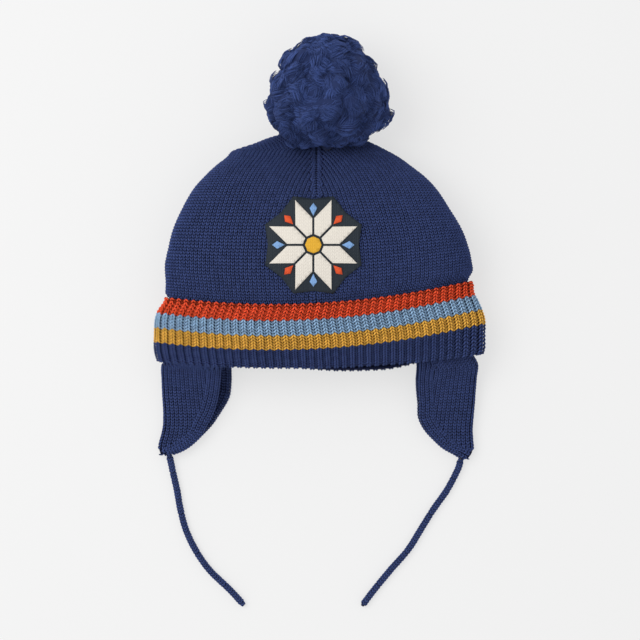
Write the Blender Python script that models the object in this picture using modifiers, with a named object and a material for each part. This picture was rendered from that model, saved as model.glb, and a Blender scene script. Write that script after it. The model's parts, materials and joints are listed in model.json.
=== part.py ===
"""A child's knitted bobble hat with ear flaps and ties, lying on its back.

The hat lies with its back on the ground, which is z = 0. Its pompom points to +Y, its
ties to -Y and its front up to +Z. All sizes are metres.
"""
import math

import bmesh
import bpy
from mathutils import Vector

# Crown
CROWN_HALF_WIDTH = 0.106
CROWN_HEIGHT = 0.1505
CROWN_DEPTH = 0.060
CROWN_WALL = 0.0026
RIM_Y = -0.0725
SIDE_FOLD_SHARE = 0.42
TOP_ROUNDNESS = 2.2
BACK_ROUNDNESS = 3.2
BACK_FLATNESS = 0.0015
APEX_LEFT_OF_MIDDLE = 0.002
GATHER_FOLDS = 8
GATHER_DEPTH = 0.0011
CROWN_COLUMNS = 58
FOLD_WEIGHT = 0.014
LOOP_CLEARANCE_SHARE = 0.02
BACK_RIM_DROP = 0.0036
BACK_RIM_FADE_SHARE = 0.30

# Turned-up ribbed cuff
CUFF_HEIGHT = 0.0461
CUFF_WALL = 0.0030
CUFF_FOLD_WALL = 0.0032
CUFF_EDGE = 0.0006
CUFF_EDGE_START = 0.965
CUFF_EDGE_SHARE = 0.55
CUFF_INSIDE_DROP = 0.3
RIB_COUNT = 84
RIB_RELIEF = 0.0005

# Ear flaps
FLAP_DROP = 0.0668
FLAP_WIDTH = 0.0460
FLAP_WALL = 0.0030
FLAP_TUCK = 0.0120
FLAP_TUCK_MIDDLE = 0.45
FLAP_TIP_HEIGHT = 0.0081
FLAP_EASE = 0.0003
FLAP_COLUMNS = 14
FLAP_SPREAD = 2.2
FLAP_LEVEL_SHARE = 0.5
FLAP_FOLD_X = 1.0028 * CROWN_HALF_WIDTH

# Ties
TIE_DIAMETER = 0.0047
TIE_REACH = 0.1000
TIE_START_HEIGHT = 0.0040
TIE_START_LYING = 1.25
TIE_POINTS = 14

# Pompom
POMPOM_WIDTH = 0.0770
POMPOM_LENGTH = 0.0780
POMPOM_HEIGHT = 0.0750
POMPOM_CENTRE_X = 0.0052
POMPOM_OVER_APEX = 0.0208
POMPOM_SAG = 0.40
POMPOM_TAPER = 0.20
POMPOM_HEAD_INSET = 0.28
TUFT_COUNT = 58
TUFT_SIZE = 0.0185
POMPOM_GRAIN = 0.0034
POMPOM_FACE_SHARE = 0.42
POMPOM_CLEARANCE = 0.0004

# Star on the crown's front
STAR_RADIUS = 0.0315
STAR_X = -0.004
STAR_Y = -0.0015
STAR_BORDER = 0.0024
STAR_BACKING_THICKNESS = 0.0006
STAR_PIECE_THICKNESS = 0.0005
STAR_POINTS = 8
STAR_SEAM = 0.0007
STAR_GRID = 0.009
STAR_CLEARANCE = 0.0004
STAR_CENTRE_SHARE = 0.17
GEM_REACH = 1.42
GEM_WIDTH_SHARE = 0.16
GEM_BORDER = 2.2

# Clearance between pieces that touch
GAP = 0.0003

# Height above the rim, left half width and right half width, as shares of CROWN_HEIGHT
# and CROWN_HALF_WIDTH
CROWN_OUTLINE = (
    (-0.050, 0.984, 0.980),
    (0.017, 1.004, 1.004),
    (0.083, 1.003, 1.005),
    (0.148, 0.997, 1.004),
    (0.190, 0.978, 0.987),
    (0.232, 0.940, 0.960),
    (0.262, 0.965, 0.938),
    (0.290, 0.966, 0.930),
    (0.325, 0.966, 0.934),
    (0.365, 0.970, 0.962),
    (0.400, 0.969, 0.957),
    (0.457, 0.951, 0.940),
    (0.546, 0.919, 0.893),
    (0.635, 0.864, 0.818),
    (0.724, 0.794, 0.737),
    (0.781, 0.726, 0.663),
    (0.830, 0.656, 0.577),
    (0.870, 0.588, 0.503),
    (0.900, 0.548, 0.430),
    (0.932, 0.420, 0.344),
    (0.963, 0.307, 0.234),
    (0.987, 0.179, 0.132),
    (1.000, 0.030, 0.000),
)

# Height above the rim; the front's height as a share of CROWN_DEPTH; the back's height
# as a share of the cuff's thickness under it; how far the right side is drawn up, and
# the middle sags, as shares of CROWN_HALF_WIDTH; and how deep the gather's folds are
CROWN_SECTIONS = (
    (0.000, 0.625, 1.00, 0.023, 0.059, 0.0),
    (0.080, 0.658, 1.00, 0.056, 0.094, 0.0),
    (0.180, 0.712, 1.00, 0.056, 0.099, 0.0),
    (0.283, 0.800, 0.85, 0.052, 0.088, 0.0),
    (0.350, 0.885, 0.35, 0.045, 0.075, 0.0),
    (0.420, 0.950, 0.00, 0.037, 0.060, 0.0),
    (0.530, 1.000, 0.00, 0.025, 0.040, 0.0),
    (0.640, 0.975, 0.00, 0.012, 0.020, 0.2),
    (0.740, 0.880, 0.00, 0.004, 0.006, 0.5),
    (0.810, 0.760, 0.00, 0.000, 0.000, 0.8),
    (0.870, 0.610, 0.00, 0.000, 0.000, 1.0),
    (0.915, 0.480, 0.05, 0.000, 0.000, 0.8),
    (0.955, 0.370, 0.50, 0.000, 0.000, 0.5),
    (0.980, 0.290, 1.10, 0.000, 0.000, 0.3),
    (0.993, 0.230, 1.90, 0.000, 0.000, 0.1),
)
APEX_HEIGHT_SHARE = 0.17
INNER_TOP_SHARE = 0.955
INNER_APEX_SHARE = 0.972

# How far the back's rim hangs below the front's: place across as a share of
# CROWN_HALF_WIDTH, and the share of BACK_RIM_DROP
BACK_RIM = (
    (-0.20, 0.0),
    (0.10, 0.8),
    (0.28, 1.0),
    (0.46, 1.0),
    (0.68, 0.0),
)

# The outside of the cuff's bottom fold: how far out from the crown as a share of the
# cuff's thickness, how far down as a share of the fold's, and the ribs' relief
CUFF_FOLD_TURN = (
    (0.15, 1.0, 0.0),
    (0.80, 0.7, 1.0),
)

# Soft dents in the front: place across and up, half length and half width as shares of
# CROWN_HALF_WIDTH, the turn of its length from +X in degrees, and the depth
FRONT_DENTS = (
    (0.50, 0.00, 0.34, 0.10, -77.0, 0.0016),
    (-0.52, 0.16, 0.36, 0.15, 64.0, 0.0012),
    (-0.02, 0.50, 0.22, 0.16, 90.0, 0.0015),
)

# Drop below the rim as a share of FLAP_DROP; the fold, the front layer's edge and the
# back layer's edge as shares of FLAP_WIDTH in from the fold's usual line; the front
# layer's height above the ground and the fold's rounding as shares of FLAP_WIDTH; and
# how far the back layer still stands up from the ground
LEFT_FLAP = (
    (0.070, 0.010, 0.872, 1.002, 0.600, 1.60, 0.70),
    (0.222, 0.000, 0.848, 1.000, 0.420, 1.00, 0.15),
    (0.385, 0.006, 0.813, 0.970, 0.320, 0.62, 0.00),
    (0.541, 0.015, 0.750, 0.850, 0.255, 0.40, 0.00),
    (0.667, 0.009, 0.654, 0.726, 0.215, 0.30, 0.00),
    (0.768, -0.017, 0.572, 0.590, 0.190, 0.22, 0.00),
    (0.858, -0.054, 0.446, 0.456, 0.175, 0.17, 0.00),
    (0.924, -0.065, 0.311, 0.317, 0.163, 0.14, 0.00),
    (0.970, -0.045, 0.144, 0.148, 0.155, 0.10, 0.00),
)
RIGHT_FLAP = (
    (0.060, 0.000, 0.846, 0.872, 0.600, 1.60, 0.70),
    (0.190, 0.010, 0.850, 0.880, 0.440, 1.00, 0.20),
    (0.330, 0.022, 0.839, 0.870, 0.340, 0.66, 0.00),
    (0.460, 0.032, 0.826, 0.855, 0.280, 0.46, 0.00),
    (0.600, 0.047, 0.824, 0.846, 0.232, 0.34, 0.00),
    (0.720, 0.056, 0.737, 0.761, 0.200, 0.26, 0.00),
    (0.830, 0.047, 0.600, 0.617, 0.180, 0.20, 0.00),
    (0.910, 0.039, 0.474, 0.485, 0.166, 0.16, 0.00),
    (0.965, 0.056, 0.333, 0.339, 0.158, 0.12, 0.00),
    (1.010, 0.104, 0.230, 0.234, 0.153, 0.09, 0.00),
)

# The ties' routes on the ground, from the flap's tip to the free end: how far in from the
# flap's fold and how far below the flap's drop, as shares of TIE_REACH
LEFT_TIE_ROUTE = (
    (0.051, -0.010),
    (0.071, 0.088),
    (0.101, 0.223),
    (0.125, 0.358),
    (0.162, 0.493),
    (0.226, 0.628),
    (0.320, 0.763),
    (0.459, 0.898),
    (0.553, 1.000),
)
RIGHT_TIE_ROUTE = (
    (0.111, 0.018),
    (0.132, 0.088),
    (0.202, 0.223),
    (0.297, 0.358),
    (0.381, 0.493),
    (0.466, 0.628),
    (0.584, 0.763),
    (0.695, 0.898),
    (0.776, 1.006),
)

# The pompom's outermost tufts: direction round the ball from +X in degrees, seen from
# the front, and how far each stands out as a share of TUFT_SIZE
EDGE_TUFTS = (
    (143.0, 0.12),
    (172.0, 0.06),
    (92.0, 0.02),
    (62.0, 0.05),
    (35.0, 0.10),
    (2.0, 0.10),
    (-28.0, 0.10),
    (205.0, 0.02),
    (238.0, 0.04),
    (-60.0, 0.04),
)

COLOURS = {
    "navy": (0.031, 0.043, 0.125),
    "pompom navy": (0.026, 0.040, 0.120),
    "near black": (0.012, 0.021, 0.030),
    "cream": (0.720, 0.680, 0.610),
    "orange": (0.620, 0.085, 0.020),
    "mustard": (0.650, 0.340, 0.050),
    "light blue": (0.220, 0.400, 0.700),
}


def smooth_lookup(rows, key, column):
    """A table's column at a key in its first column, along a smooth curve."""
    if key <= rows[0][0]:
        return rows[0][column]
    if key >= rows[-1][0]:
        return rows[-1][column]
    after = next(i for i, row in enumerate(rows) if row[0] > key)
    before = after - 1
    step = rows[after][0] - rows[before][0]

    def slope(i):
        low = max(i - 1, 0)
        high = min(i + 1, len(rows) - 1)
        return (rows[high][column] - rows[low][column]) / (rows[high][0] - rows[low][0])

    t = (key - rows[before][0]) / step
    start = (1 + 2 * t) * (1 - t) ** 2 * rows[before][column]
    end = t * t * (3 - 2 * t) * rows[after][column]
    bends = t * (1 - t) ** 2 * slope(before) - t * t * (1 - t) * slope(after)
    return start + end + bends * step


def drawn_up(share, across):
    """How far a course of the knitting lies from level, at a place from -1 to 1 across."""
    tilt = smooth_lookup(CROWN_SECTIONS, share, 3) * CROWN_HALF_WIDTH
    sag = smooth_lookup(CROWN_SECTIONS, share, 4) * CROWN_HALF_WIDTH
    return tilt * across + sag * (across * across - 1)


def section_sizes(share):
    """Left, right, underside, side fold and top of the crown's section at a height share."""
    tilt_share = smooth_lookup(CROWN_SECTIONS, share, 3) * CROWN_HALF_WIDTH / CROWN_HEIGHT
    left = -CROWN_HALF_WIDTH * smooth_lookup(CROWN_OUTLINE, share - tilt_share, 1)
    right = CROWN_HALF_WIDTH * smooth_lookup(CROWN_OUTLINE, share + tilt_share, 2)
    cuff_under = GAP + CUFF_WALL + RIB_RELIEF
    underside = cuff_under * max(smooth_lookup(CROWN_SECTIONS, share, 2), 0.0)
    top = CROWN_DEPTH * smooth_lookup(CROWN_SECTIONS, share, 1)
    return left, right, underside, underside + SIDE_FOLD_SHARE * (top - underside), top


def front_height(share, across):
    """The front's height above the ground at a place from -1 to 1 across the section."""
    _, _, _, fold, top = section_sizes(share)
    reach = max(1 - min(abs(across), 1.0) ** TOP_ROUNDNESS, 0.0) ** (1 / TOP_ROUNDNESS)
    return fold + (top - fold) * reach


def dent_depth(x, y):
    """How deep the front's soft dents are at a place."""
    depth = 0.0
    for across, up, length, width, turn, deepest in FRONT_DENTS:
        angle = math.radians(turn)
        dx = x / CROWN_HALF_WIDTH - across
        dy = y / CROWN_HALF_WIDTH - up
        along = dx * math.cos(angle) + dy * math.sin(angle)
        aside = dy * math.cos(angle) - dx * math.sin(angle)
        depth += deepest * math.exp(-((along / length) ** 2) - (aside / width) ** 2)
    return depth


def evenly(points, count, turn_weight=0.0):
    """Points at even distances along a closed outline, closer where it turns if asked."""
    closed = points + [points[0]]
    lengths = [0.0]
    heading = math.atan2(closed[1][1] - closed[0][1], closed[1][0] - closed[0][0])
    for a, b in zip(closed, closed[1:]):
        run = math.dist(a, b)
        way = math.atan2(b[1] - a[1], b[0] - a[0]) if run > 1e-9 else heading
        turn = abs(math.remainder(way - heading, 2 * math.pi))
        heading = way
        lengths.append(lengths[-1] + run + turn * turn_weight)
    even = []
    segment = 0
    for k in range(count):
        want = lengths[-1] * k / count
        while lengths[segment + 1] < want:
            segment += 1
        t = (want - lengths[segment]) / (lengths[segment + 1] - lengths[segment])
        a = closed[segment]
        b = closed[segment + 1]
        even.append(tuple(p + (q - p) * t for p, q in zip(a, b)))
    return even


def crown_loop(share, count, offset=0.0, ribbed=0.0, drop=0.0, turn_weight=FOLD_WEIGHT):
    """One loop round the crown, moved out by offset, and in every second column by less."""
    left, right, underside, fold, top = section_sizes(share)
    middle = (left + right) / 2
    half = (right - left) / 2
    steps = 720
    outline = []
    for k in range(steps):
        angle = 2 * math.pi * k / steps - math.pi / 2
        across = math.cos(angle)
        up = math.sin(angle)
        power = 2 / (TOP_ROUNDNESS if up >= 0 else BACK_ROUNDNESS)
        x = middle + half * math.copysign(abs(across) ** power, across)
        if up >= 0:
            z = fold + (top - fold) * up**power
        else:
            z = fold - (fold - underside + BACK_FLATNESS) * abs(up) ** power
        outline.append((x, max(z, underside)))
    even = evenly(outline, count, turn_weight)
    gather = smooth_lookup(CROWN_SECTIONS, share, 5) * GATHER_DEPTH
    level = RIM_Y + share * CROWN_HEIGHT
    hang = BACK_RIM_DROP * max(1 - share / BACK_RIM_FADE_SHARE, 0.0)
    loop = []
    for k, (x, z) in enumerate(even):
        before = even[k - 1]
        after = even[(k + 1) % count]
        run = Vector((after[0] - before[0], after[1] - before[1])).normalized()
        out = offset - (ribbed if k % 2 else 0.0)
        y = level + drawn_up(share, (x - middle) / half)
        if z > fold:
            rise = (z - fold) / (top - fold)
            out -= dent_depth(x, y) * rise
            out -= gather * rise * (1 + math.cos(2 * math.pi * GATHER_FOLDS * k / count))
        else:
            fall = (fold - z) / (fold - underside)
            y -= hang * fall * smooth_lookup(BACK_RIM, x / CROWN_HALF_WIDTH, 1)
        loop.append((x + run.y * out, y - drop, max(z - run.x * out, 0.0)))
    return loop


def loft(name, loops, start=None, end=None, ring=False):
    """A closed mesh through loops of equal count, with a point or the first loop at its end."""
    mesh = bpy.data.meshes.new(name)
    bm = bmesh.new()
    rows = [[bm.verts.new(point) for point in loop] for loop in loops]
    pairs = list(zip(rows, rows[1:]))
    if ring:
        pairs.append((rows[-1], rows[0]))
    for low, high in pairs:
        for k in range(len(low)):
            after = (k + 1) % len(low)
            bm.faces.new((low[k], low[after], high[after], high[k]))
    for point, row in ((start, rows[0]), (end, rows[-1])):
        if point:
            tip = bm.verts.new(point)
            for k in range(len(row)):
                bm.faces.new((row[k], row[(k + 1) % len(row)], tip))
    bmesh.ops.recalc_face_normals(bm, faces=bm.faces)
    bm.to_mesh(mesh)
    bm.free()
    mesh.shade_smooth()
    return mesh


def material(name, roughness=0.9):
    """A plain Principled material in one of the hat's colours."""
    made = bpy.data.materials.get(name) or bpy.data.materials.new(name)
    made.use_nodes = True
    shader = made.node_tree.nodes["Principled BSDF"]
    shader.inputs["Base Color"].default_value = (*COLOURS[name], 1.0)
    shader.inputs["Roughness"].default_value = roughness
    shader.inputs["Metallic"].default_value = 0.0
    return made


def add_object(name, data, colour, parent, collection):
    """Puts a mesh or curve in the collection as a piece of its own."""
    piece = bpy.data.objects.new(name, data)
    data.materials.append(material(colour))
    collection.objects.link(piece)
    piece.parent = parent
    return piece


def apex_point(share, height_share):
    """The point where the crown's wall is drawn together."""
    y = RIM_Y + share * CROWN_HEIGHT
    return (-APEX_LEFT_OF_MIDDLE, y, CROWN_DEPTH * height_share)


def cuff_top_share():
    """The height share where the cuff's top edge meets the crown."""
    return (CUFF_HEIGHT - CUFF_FOLD_WALL - GAP) / CROWN_HEIGHT


def crown_shares():
    """The heights of the crown's loops, one of them at the cuff's top edge."""
    top = cuff_top_share()
    shares = [row[0] for row in CROWN_SECTIONS]
    return sorted([share for share in shares if abs(share - top) > LOOP_CLEARANCE_SHARE] + [top])


def crown_mesh():
    """The hollow cap: its outer wall up to the gather and its inner wall back down."""
    shares = crown_shares()
    outer = [crown_loop(share, CROWN_COLUMNS) for share in shares]
    inner = [
        crown_loop(share, CROWN_COLUMNS, -CROWN_WALL)
        for share in shares
        if share <= INNER_TOP_SHARE
    ]
    return loft(
        "crown",
        outer[::-1] + inner,
        start=apex_point(1.0, APEX_HEIGHT_SHARE),
        end=apex_point(INNER_APEX_SHARE, APEX_HEIGHT_SHARE),
    )


def crown_envelope(name, clearance):
    """The crown's outside as a solid, a clearance larger, to seat other pieces against."""
    shares = crown_shares()
    loops = [crown_loop(share, CROWN_COLUMNS, clearance) for share in shares]
    apex = Vector(apex_point(1.0, APEX_HEIGHT_SHARE)) + Vector((0, clearance, 0))
    centre = (0.0, RIM_Y, CROWN_DEPTH * SIDE_FOLD_SHARE)
    return loft(name, loops, start=centre, end=tuple(apex))


def cuff_mesh():
    """The ribbed band: up from the fold outside the crown, and under the crown's rim."""
    columns = 2 * RIB_COUNT
    outer = GAP + CUFF_WALL + RIB_RELIEF
    fold_drop = CUFF_FOLD_WALL + GAP
    top_share = cuff_top_share()
    beside_crown = [share for share in crown_shares() if share < top_share]
    profile = [(share, outer, RIB_RELIEF, 0.0) for share in beside_crown]
    edge_out = GAP + CUFF_WALL * CUFF_EDGE_SHARE
    profile.append((top_share * CUFF_EDGE_START, outer, RIB_RELIEF, 0.0))
    profile.append((top_share + CUFF_EDGE / CROWN_HEIGHT, edge_out, 0.0, 0.0))
    profile.append((top_share, GAP, 0.0, 0.0))
    profile += [(share, GAP, 0.0, 0.0) for share in beside_crown[:0:-1]]
    profile.append((0.0, GAP, 0.0, GAP))
    profile.append((0.0, -CROWN_WALL, 0.0, GAP + CUFF_FOLD_WALL * CUFF_INSIDE_DROP))
    for out, down, relief in CUFF_FOLD_TURN:
        profile.append((0.0, outer * out, RIB_RELIEF * relief, fold_drop * down))
    loops = [
        crown_loop(share, columns, offset, ribbed, drop, turn_weight=0.0)
        for share, offset, ribbed, drop in profile
    ]
    return loft("cuff", loops, ring=True)


def flap_row(side, sizes, level, shift):
    """One row of points across a folded flap, from the front layer's edge to the back's."""
    fold, front, back, low, middle, high, rounding = sizes
    row = []
    for k in range(FLAP_COLUMNS + 1):
        place = 1 - 2 * k / FLAP_COLUMNS
        reach = front if place > 0 else back
        inward = (reach - fold) * abs(place) ** FLAP_SPREAD
        bend = max(1 - (1 - min(inward / rounding, 1.0)) ** TOP_ROUNDNESS, 0.0)
        stand = bend ** (1 / TOP_ROUNDNESS)
        z = middle + ((high - middle) if place > 0 else (low - middle)) * stand
        x = side * (FLAP_FOLD_X - fold - inward)
        row.append((x, level + shift(x), z))
    return row


def tucked_row(side, share, front, back):
    """A flap's row where it lies against the crown's inside, at a height share."""
    inset = CROWN_WALL + GAP + FLAP_WALL / 2 + FLAP_EASE
    loop = crown_loop(share, 4 * CROWN_COLUMNS, -inset)
    fold = max(loop, key=lambda point: side * point[0])
    row = []
    for k in range(FLAP_COLUMNS + 1):
        place = 1 - 2 * k / FLAP_COLUMNS
        reach = front if place > 0 else back
        inward = (reach - (FLAP_FOLD_X - abs(fold[0]))) * abs(place) ** FLAP_SPREAD
        x = side * (abs(fold[0]) - inward)
        spot = fold
        for a, b in zip(loop, loop[1:] + loop[:1]):
            same_layer = (min(a[2], b[2]) >= fold[2]) == (place > 0)
            if place and same_layer and min(a[0], b[0]) <= x <= max(a[0], b[0]):
                t = (x - a[0]) / (b[0] - a[0])
                spot = tuple(p + (q - p) * t for p, q in zip(a, b))
        row.append(spot)
    return row


def ear_flap_mesh(name, side, table):
    """A flap's middle surface, tucked inside the rim and folded in half below it."""
    rim_level = RIM_Y - CUFF_FOLD_WALL - GAP
    under = FLAP_WALL / 2
    first = table[0]
    rows = [
        tucked_row(side, tuck / CROWN_HEIGHT, first[2] * FLAP_WIDTH, first[3] * FLAP_WIDTH)
        for tuck in (FLAP_TUCK, FLAP_TUCK * FLAP_TUCK_MIDDLE, 0.0, -CUFF_FOLD_WALL)
    ]
    _, _, rim_under, _, _ = section_sizes(0.0)
    stand_under = rim_under + CROWN_WALL + GAP
    for drop, fold, front, back, height, rounding, lifted in table:
        low = under + stand_under * lifted
        high = max(height * FLAP_WIDTH, FLAP_TIP_HEIGHT) - under
        sizes = (
            fold * FLAP_WIDTH + under,
            front * FLAP_WIDTH,
            back * FLAP_WIDTH,
            low,
            low + SIDE_FOLD_SHARE * (high - low),
            high,
            rounding * FLAP_WIDTH,
        )
        fade = max(1 - drop / FLAP_LEVEL_SHARE, 0.0)

        def shift(x, fade=fade):
            sag = drawn_up(0.0, x / CROWN_HALF_WIDTH) - drawn_up(0.0, side)
            return sag * fade

        rows.append(flap_row(side, sizes, rim_level - drop * FLAP_DROP, shift))
    mesh = bpy.data.meshes.new(name)
    bm = bmesh.new()
    grid = [[bm.verts.new(point) for point in row] for row in rows]
    for low_row, high_row in zip(grid, grid[1:]):
        for k in range(FLAP_COLUMNS):
            bm.faces.new((low_row[k], low_row[k + 1], high_row[k + 1], high_row[k]))
    bm.to_mesh(mesh)
    bm.free()
    mesh.shade_smooth()
    return mesh


def add_ear_flap(name, side, table, parent, collection):
    """An ear flap of double knitting, with its wall either side of its middle surface."""
    flap = add_object(name, ear_flap_mesh(name, side, table), "navy", parent, collection)
    wall = flap.modifiers.new("double knitting", "SOLIDIFY")
    wall.thickness = FLAP_WALL
    wall.offset = 0.0
    return flap


def tie_points(side, route):
    """Points along the smooth curve through a tie's route, at even steps."""
    lying = TIE_DIAMETER / 2
    level = RIM_Y - CUFF_FOLD_WALL - GAP - FLAP_DROP
    heights = [TIE_START_HEIGHT, lying * TIE_START_LYING] + [lying] * (len(route) - 2)
    knots = []
    for (inward, down), z in zip(route, heights):
        x = side * (FLAP_FOLD_X - inward * TIE_REACH)
        knots.append(Vector((x, level - down * TIE_REACH, z)))
    ends = [2 * knots[0] - knots[1]] + knots + [2 * knots[-1] - knots[-2]]
    fine = []
    for before, a, b, after in zip(ends, ends[1:], ends[2:], ends[3:]):
        for step in range(10):
            t = step / 10
            bend = (b - before) * t + (2 * before - 5 * a + 4 * b - after) * t**2
            fine.append(a + 0.5 * (bend + (3 * a - before - 3 * b + after) * t**3))
    fine.append(knots[-1])
    total = sum((b - a).length for a, b in zip(fine, fine[1:]))
    points = [fine[0]]
    gone = 0.0
    for a, b in zip(fine, fine[1:]):
        gone += (b - a).length
        if gone >= total * len(points) / TIE_POINTS - 1e-9:
            points.append(b)
    return points


def add_tie(name, side, route, parent, collection):
    """A tie's cord as a tube along its route."""
    points = tie_points(side, route)
    curve = bpy.data.curves.new(name, "CURVE")
    curve.dimensions = "3D"
    curve.bevel_depth = TIE_DIAMETER / 2
    curve.bevel_resolution = 2
    curve.use_fill_caps = True
    spline = curve.splines.new("POLY")
    spline.points.add(len(points) - 1)
    for spot, point in zip(spline.points, points):
        spot.co = (*point, 1.0)
    return add_object(name, curve, "navy", parent, collection)


def tuft_directions():
    """Unit directions of the pompom's tufts: an even spread, then those at its edge."""
    golden = math.pi * (3 - math.sqrt(5))
    spread = []
    for k in range(TUFT_COUNT):
        z = 1 - 2 * (k + 0.5) / TUFT_COUNT
        ring = math.sqrt(1 - z * z)
        spread.append((Vector((ring * math.cos(golden * k), ring * math.sin(golden * k), z)), 0.0))
    for turn, out in EDGE_TUFTS:
        angle = math.radians(turn)
        spread.append((Vector((math.cos(angle), math.sin(angle), 0.05)), out))
    return spread


def on_pompom(way, inset=0.0):
    """The ball's surface in a direction from its middle, fuller on the crown's side."""
    swell = POMPOM_SAG * max(-way.y, 0.0) - POMPOM_TAPER * max(way.y, 0.0)
    full = 1 + swell * math.hypot(way.x, way.z)
    return Vector(
        (
            way.x * full * (POMPOM_WIDTH / 2 - inset),
            way.y * (POMPOM_LENGTH / 2 - inset),
            way.z * full * (POMPOM_HEIGHT / 2 - inset),
        )
    )


def pompom_mesh(name, centre):
    """A head with a lock at each tuft's place, all in one mesh before they are fused."""
    bm = bmesh.new()
    head = bmesh.ops.create_icosphere(bm, subdivisions=3, radius=1.0)["verts"]
    for vert in head:
        vert.co = on_pompom(vert.co.normalized(), TUFT_SIZE * POMPOM_HEAD_INSET)
    for k, (way, out) in enumerate(tuft_directions()):
        radius = TUFT_SIZE * (0.46 + 0.09 * math.sin(2.4 * k))
        reach = TUFT_SIZE * (out + 0.07 + 0.05 * math.cos(3.7 * k))
        place = on_pompom(way) + way * (reach - radius)
        lock = bmesh.ops.create_icosphere(bm, subdivisions=2, radius=radius)["verts"]
        turn = Vector((0, 0, 1)).rotation_difference(way).to_matrix()
        bmesh.ops.scale(bm, vec=(0.82, 1.12, 1.0), verts=lock)
        bmesh.ops.rotate(bm, matrix=turn, verts=lock)
        bmesh.ops.translate(bm, vec=place, verts=lock)
    bmesh.ops.translate(bm, vec=centre, verts=bm.verts)
    mesh = bpy.data.meshes.new(name)
    bm.to_mesh(mesh)
    bm.free()
    return mesh


def add_cutter(name, mesh, parent, collection):
    """A shape that only cuts others."""
    cutter = bpy.data.objects.new(name, mesh)
    cutter.parent = parent
    collection.objects.link(cutter)
    cutter.hide_render = True
    cutter.display_type = "WIRE"
    return cutter


def add_pompom(parent, collection, cutters):
    """The yarn ball, flat where it lies on the ground and seated on the crown's gather."""
    apex_y = RIM_Y + CROWN_HEIGHT
    centre = Vector((POMPOM_CENTRE_X, apex_y + POMPOM_OVER_APEX, POMPOM_HEIGHT / 2))
    ball = add_object("pompom", pompom_mesh("pompom", centre), "pompom navy", parent, collection)
    fuse = ball.modifiers.new("locks fused to the head", "REMESH")
    fuse.mode = "VOXEL"
    fuse.voxel_size = POMPOM_GRAIN
    thin = ball.modifiers.new("fewer faces", "DECIMATE")
    thin.ratio = POMPOM_FACE_SHARE
    ground = bpy.data.meshes.new("ground")
    bm = bmesh.new()
    bmesh.ops.create_cube(bm, size=2 * POMPOM_WIDTH)
    bmesh.ops.translate(bm, vec=(centre.x, centre.y, -POMPOM_WIDTH), verts=bm.verts)
    bm.to_mesh(ground)
    bm.free()
    seat = crown_envelope("crown envelope", POMPOM_CLEARANCE)
    for cut_name, mesh in (("ground", ground), ("crown_envelope", seat)):
        cut = ball.modifiers.new(cut_name, "BOOLEAN")
        cut.operation = "DIFFERENCE"
        cut.solver = "EXACT"
        cut.object = add_cutter(cut_name, mesh, parent, cutters)
    return ball


def place_on_front(x, y):
    """The crown's front at a place seen from above."""
    share = (y - RIM_Y) / CROWN_HEIGHT
    for _ in range(6):
        left, right, _, _, _ = section_sizes(share)
        across = (2 * x - left - right) / (right - left)
        share = (y - RIM_Y - drawn_up(share, across)) / CROWN_HEIGHT
    return Vector((x, y, front_height(share, across) - dent_depth(x, y)))


def add_front_sheet(name, outline, lift, thickness, colour, parent, collection):
    """A thin sheet of an outline's shape that follows the crown's front."""
    bm = bmesh.new()
    bm.faces.new([bm.verts.new((x, y, 0.0)) for x, y in outline])
    for axis in (0, 1):
        low = min(point[axis] for point in outline)
        high = max(point[axis] for point in outline)
        normal = (1, 0, 0) if axis == 0 else (0, 1, 0)
        for step in range(math.ceil(low / STAR_GRID), math.floor(high / STAR_GRID) + 1):
            line = Vector(normal) * step * STAR_GRID
            everything = bm.verts[:] + bm.edges[:] + bm.faces[:]
            bmesh.ops.bisect_plane(bm, geom=everything, plane_co=line, plane_no=normal)
    bmesh.ops.remove_doubles(bm, verts=bm.verts, dist=1e-6)
    step = 0.001
    for vert in bm.verts:
        x, y, _ = vert.co
        spot = place_on_front(x, y)
        along_x = place_on_front(x + step, y) - place_on_front(x - step, y)
        along_y = place_on_front(x, y + step) - place_on_front(x, y - step)
        vert.co = spot + along_x.cross(along_y).normalized() * lift
    for face in bm.faces:
        if face.normal.z < 0:
            face.normal_flip()
    bmesh.ops.recalc_face_normals(bm, faces=bm.faces)
    if sum(face.normal.z for face in bm.faces) < 0:
        bmesh.ops.reverse_faces(bm, faces=bm.faces)
    mesh = bpy.data.meshes.new(name)
    bm.to_mesh(mesh)
    bm.free()
    sheet = add_object(name, mesh, colour, parent, collection)
    wall = sheet.modifiers.new("sheet", "SOLIDIFY")
    wall.thickness = thickness
    wall.offset = 1.0
    return sheet


def around_star(radius, degrees):
    """A point at a radius and an angle round the star's middle."""
    angle = math.radians(degrees)
    return (STAR_X + radius * math.cos(angle), STAR_Y + radius * math.sin(angle))


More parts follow.
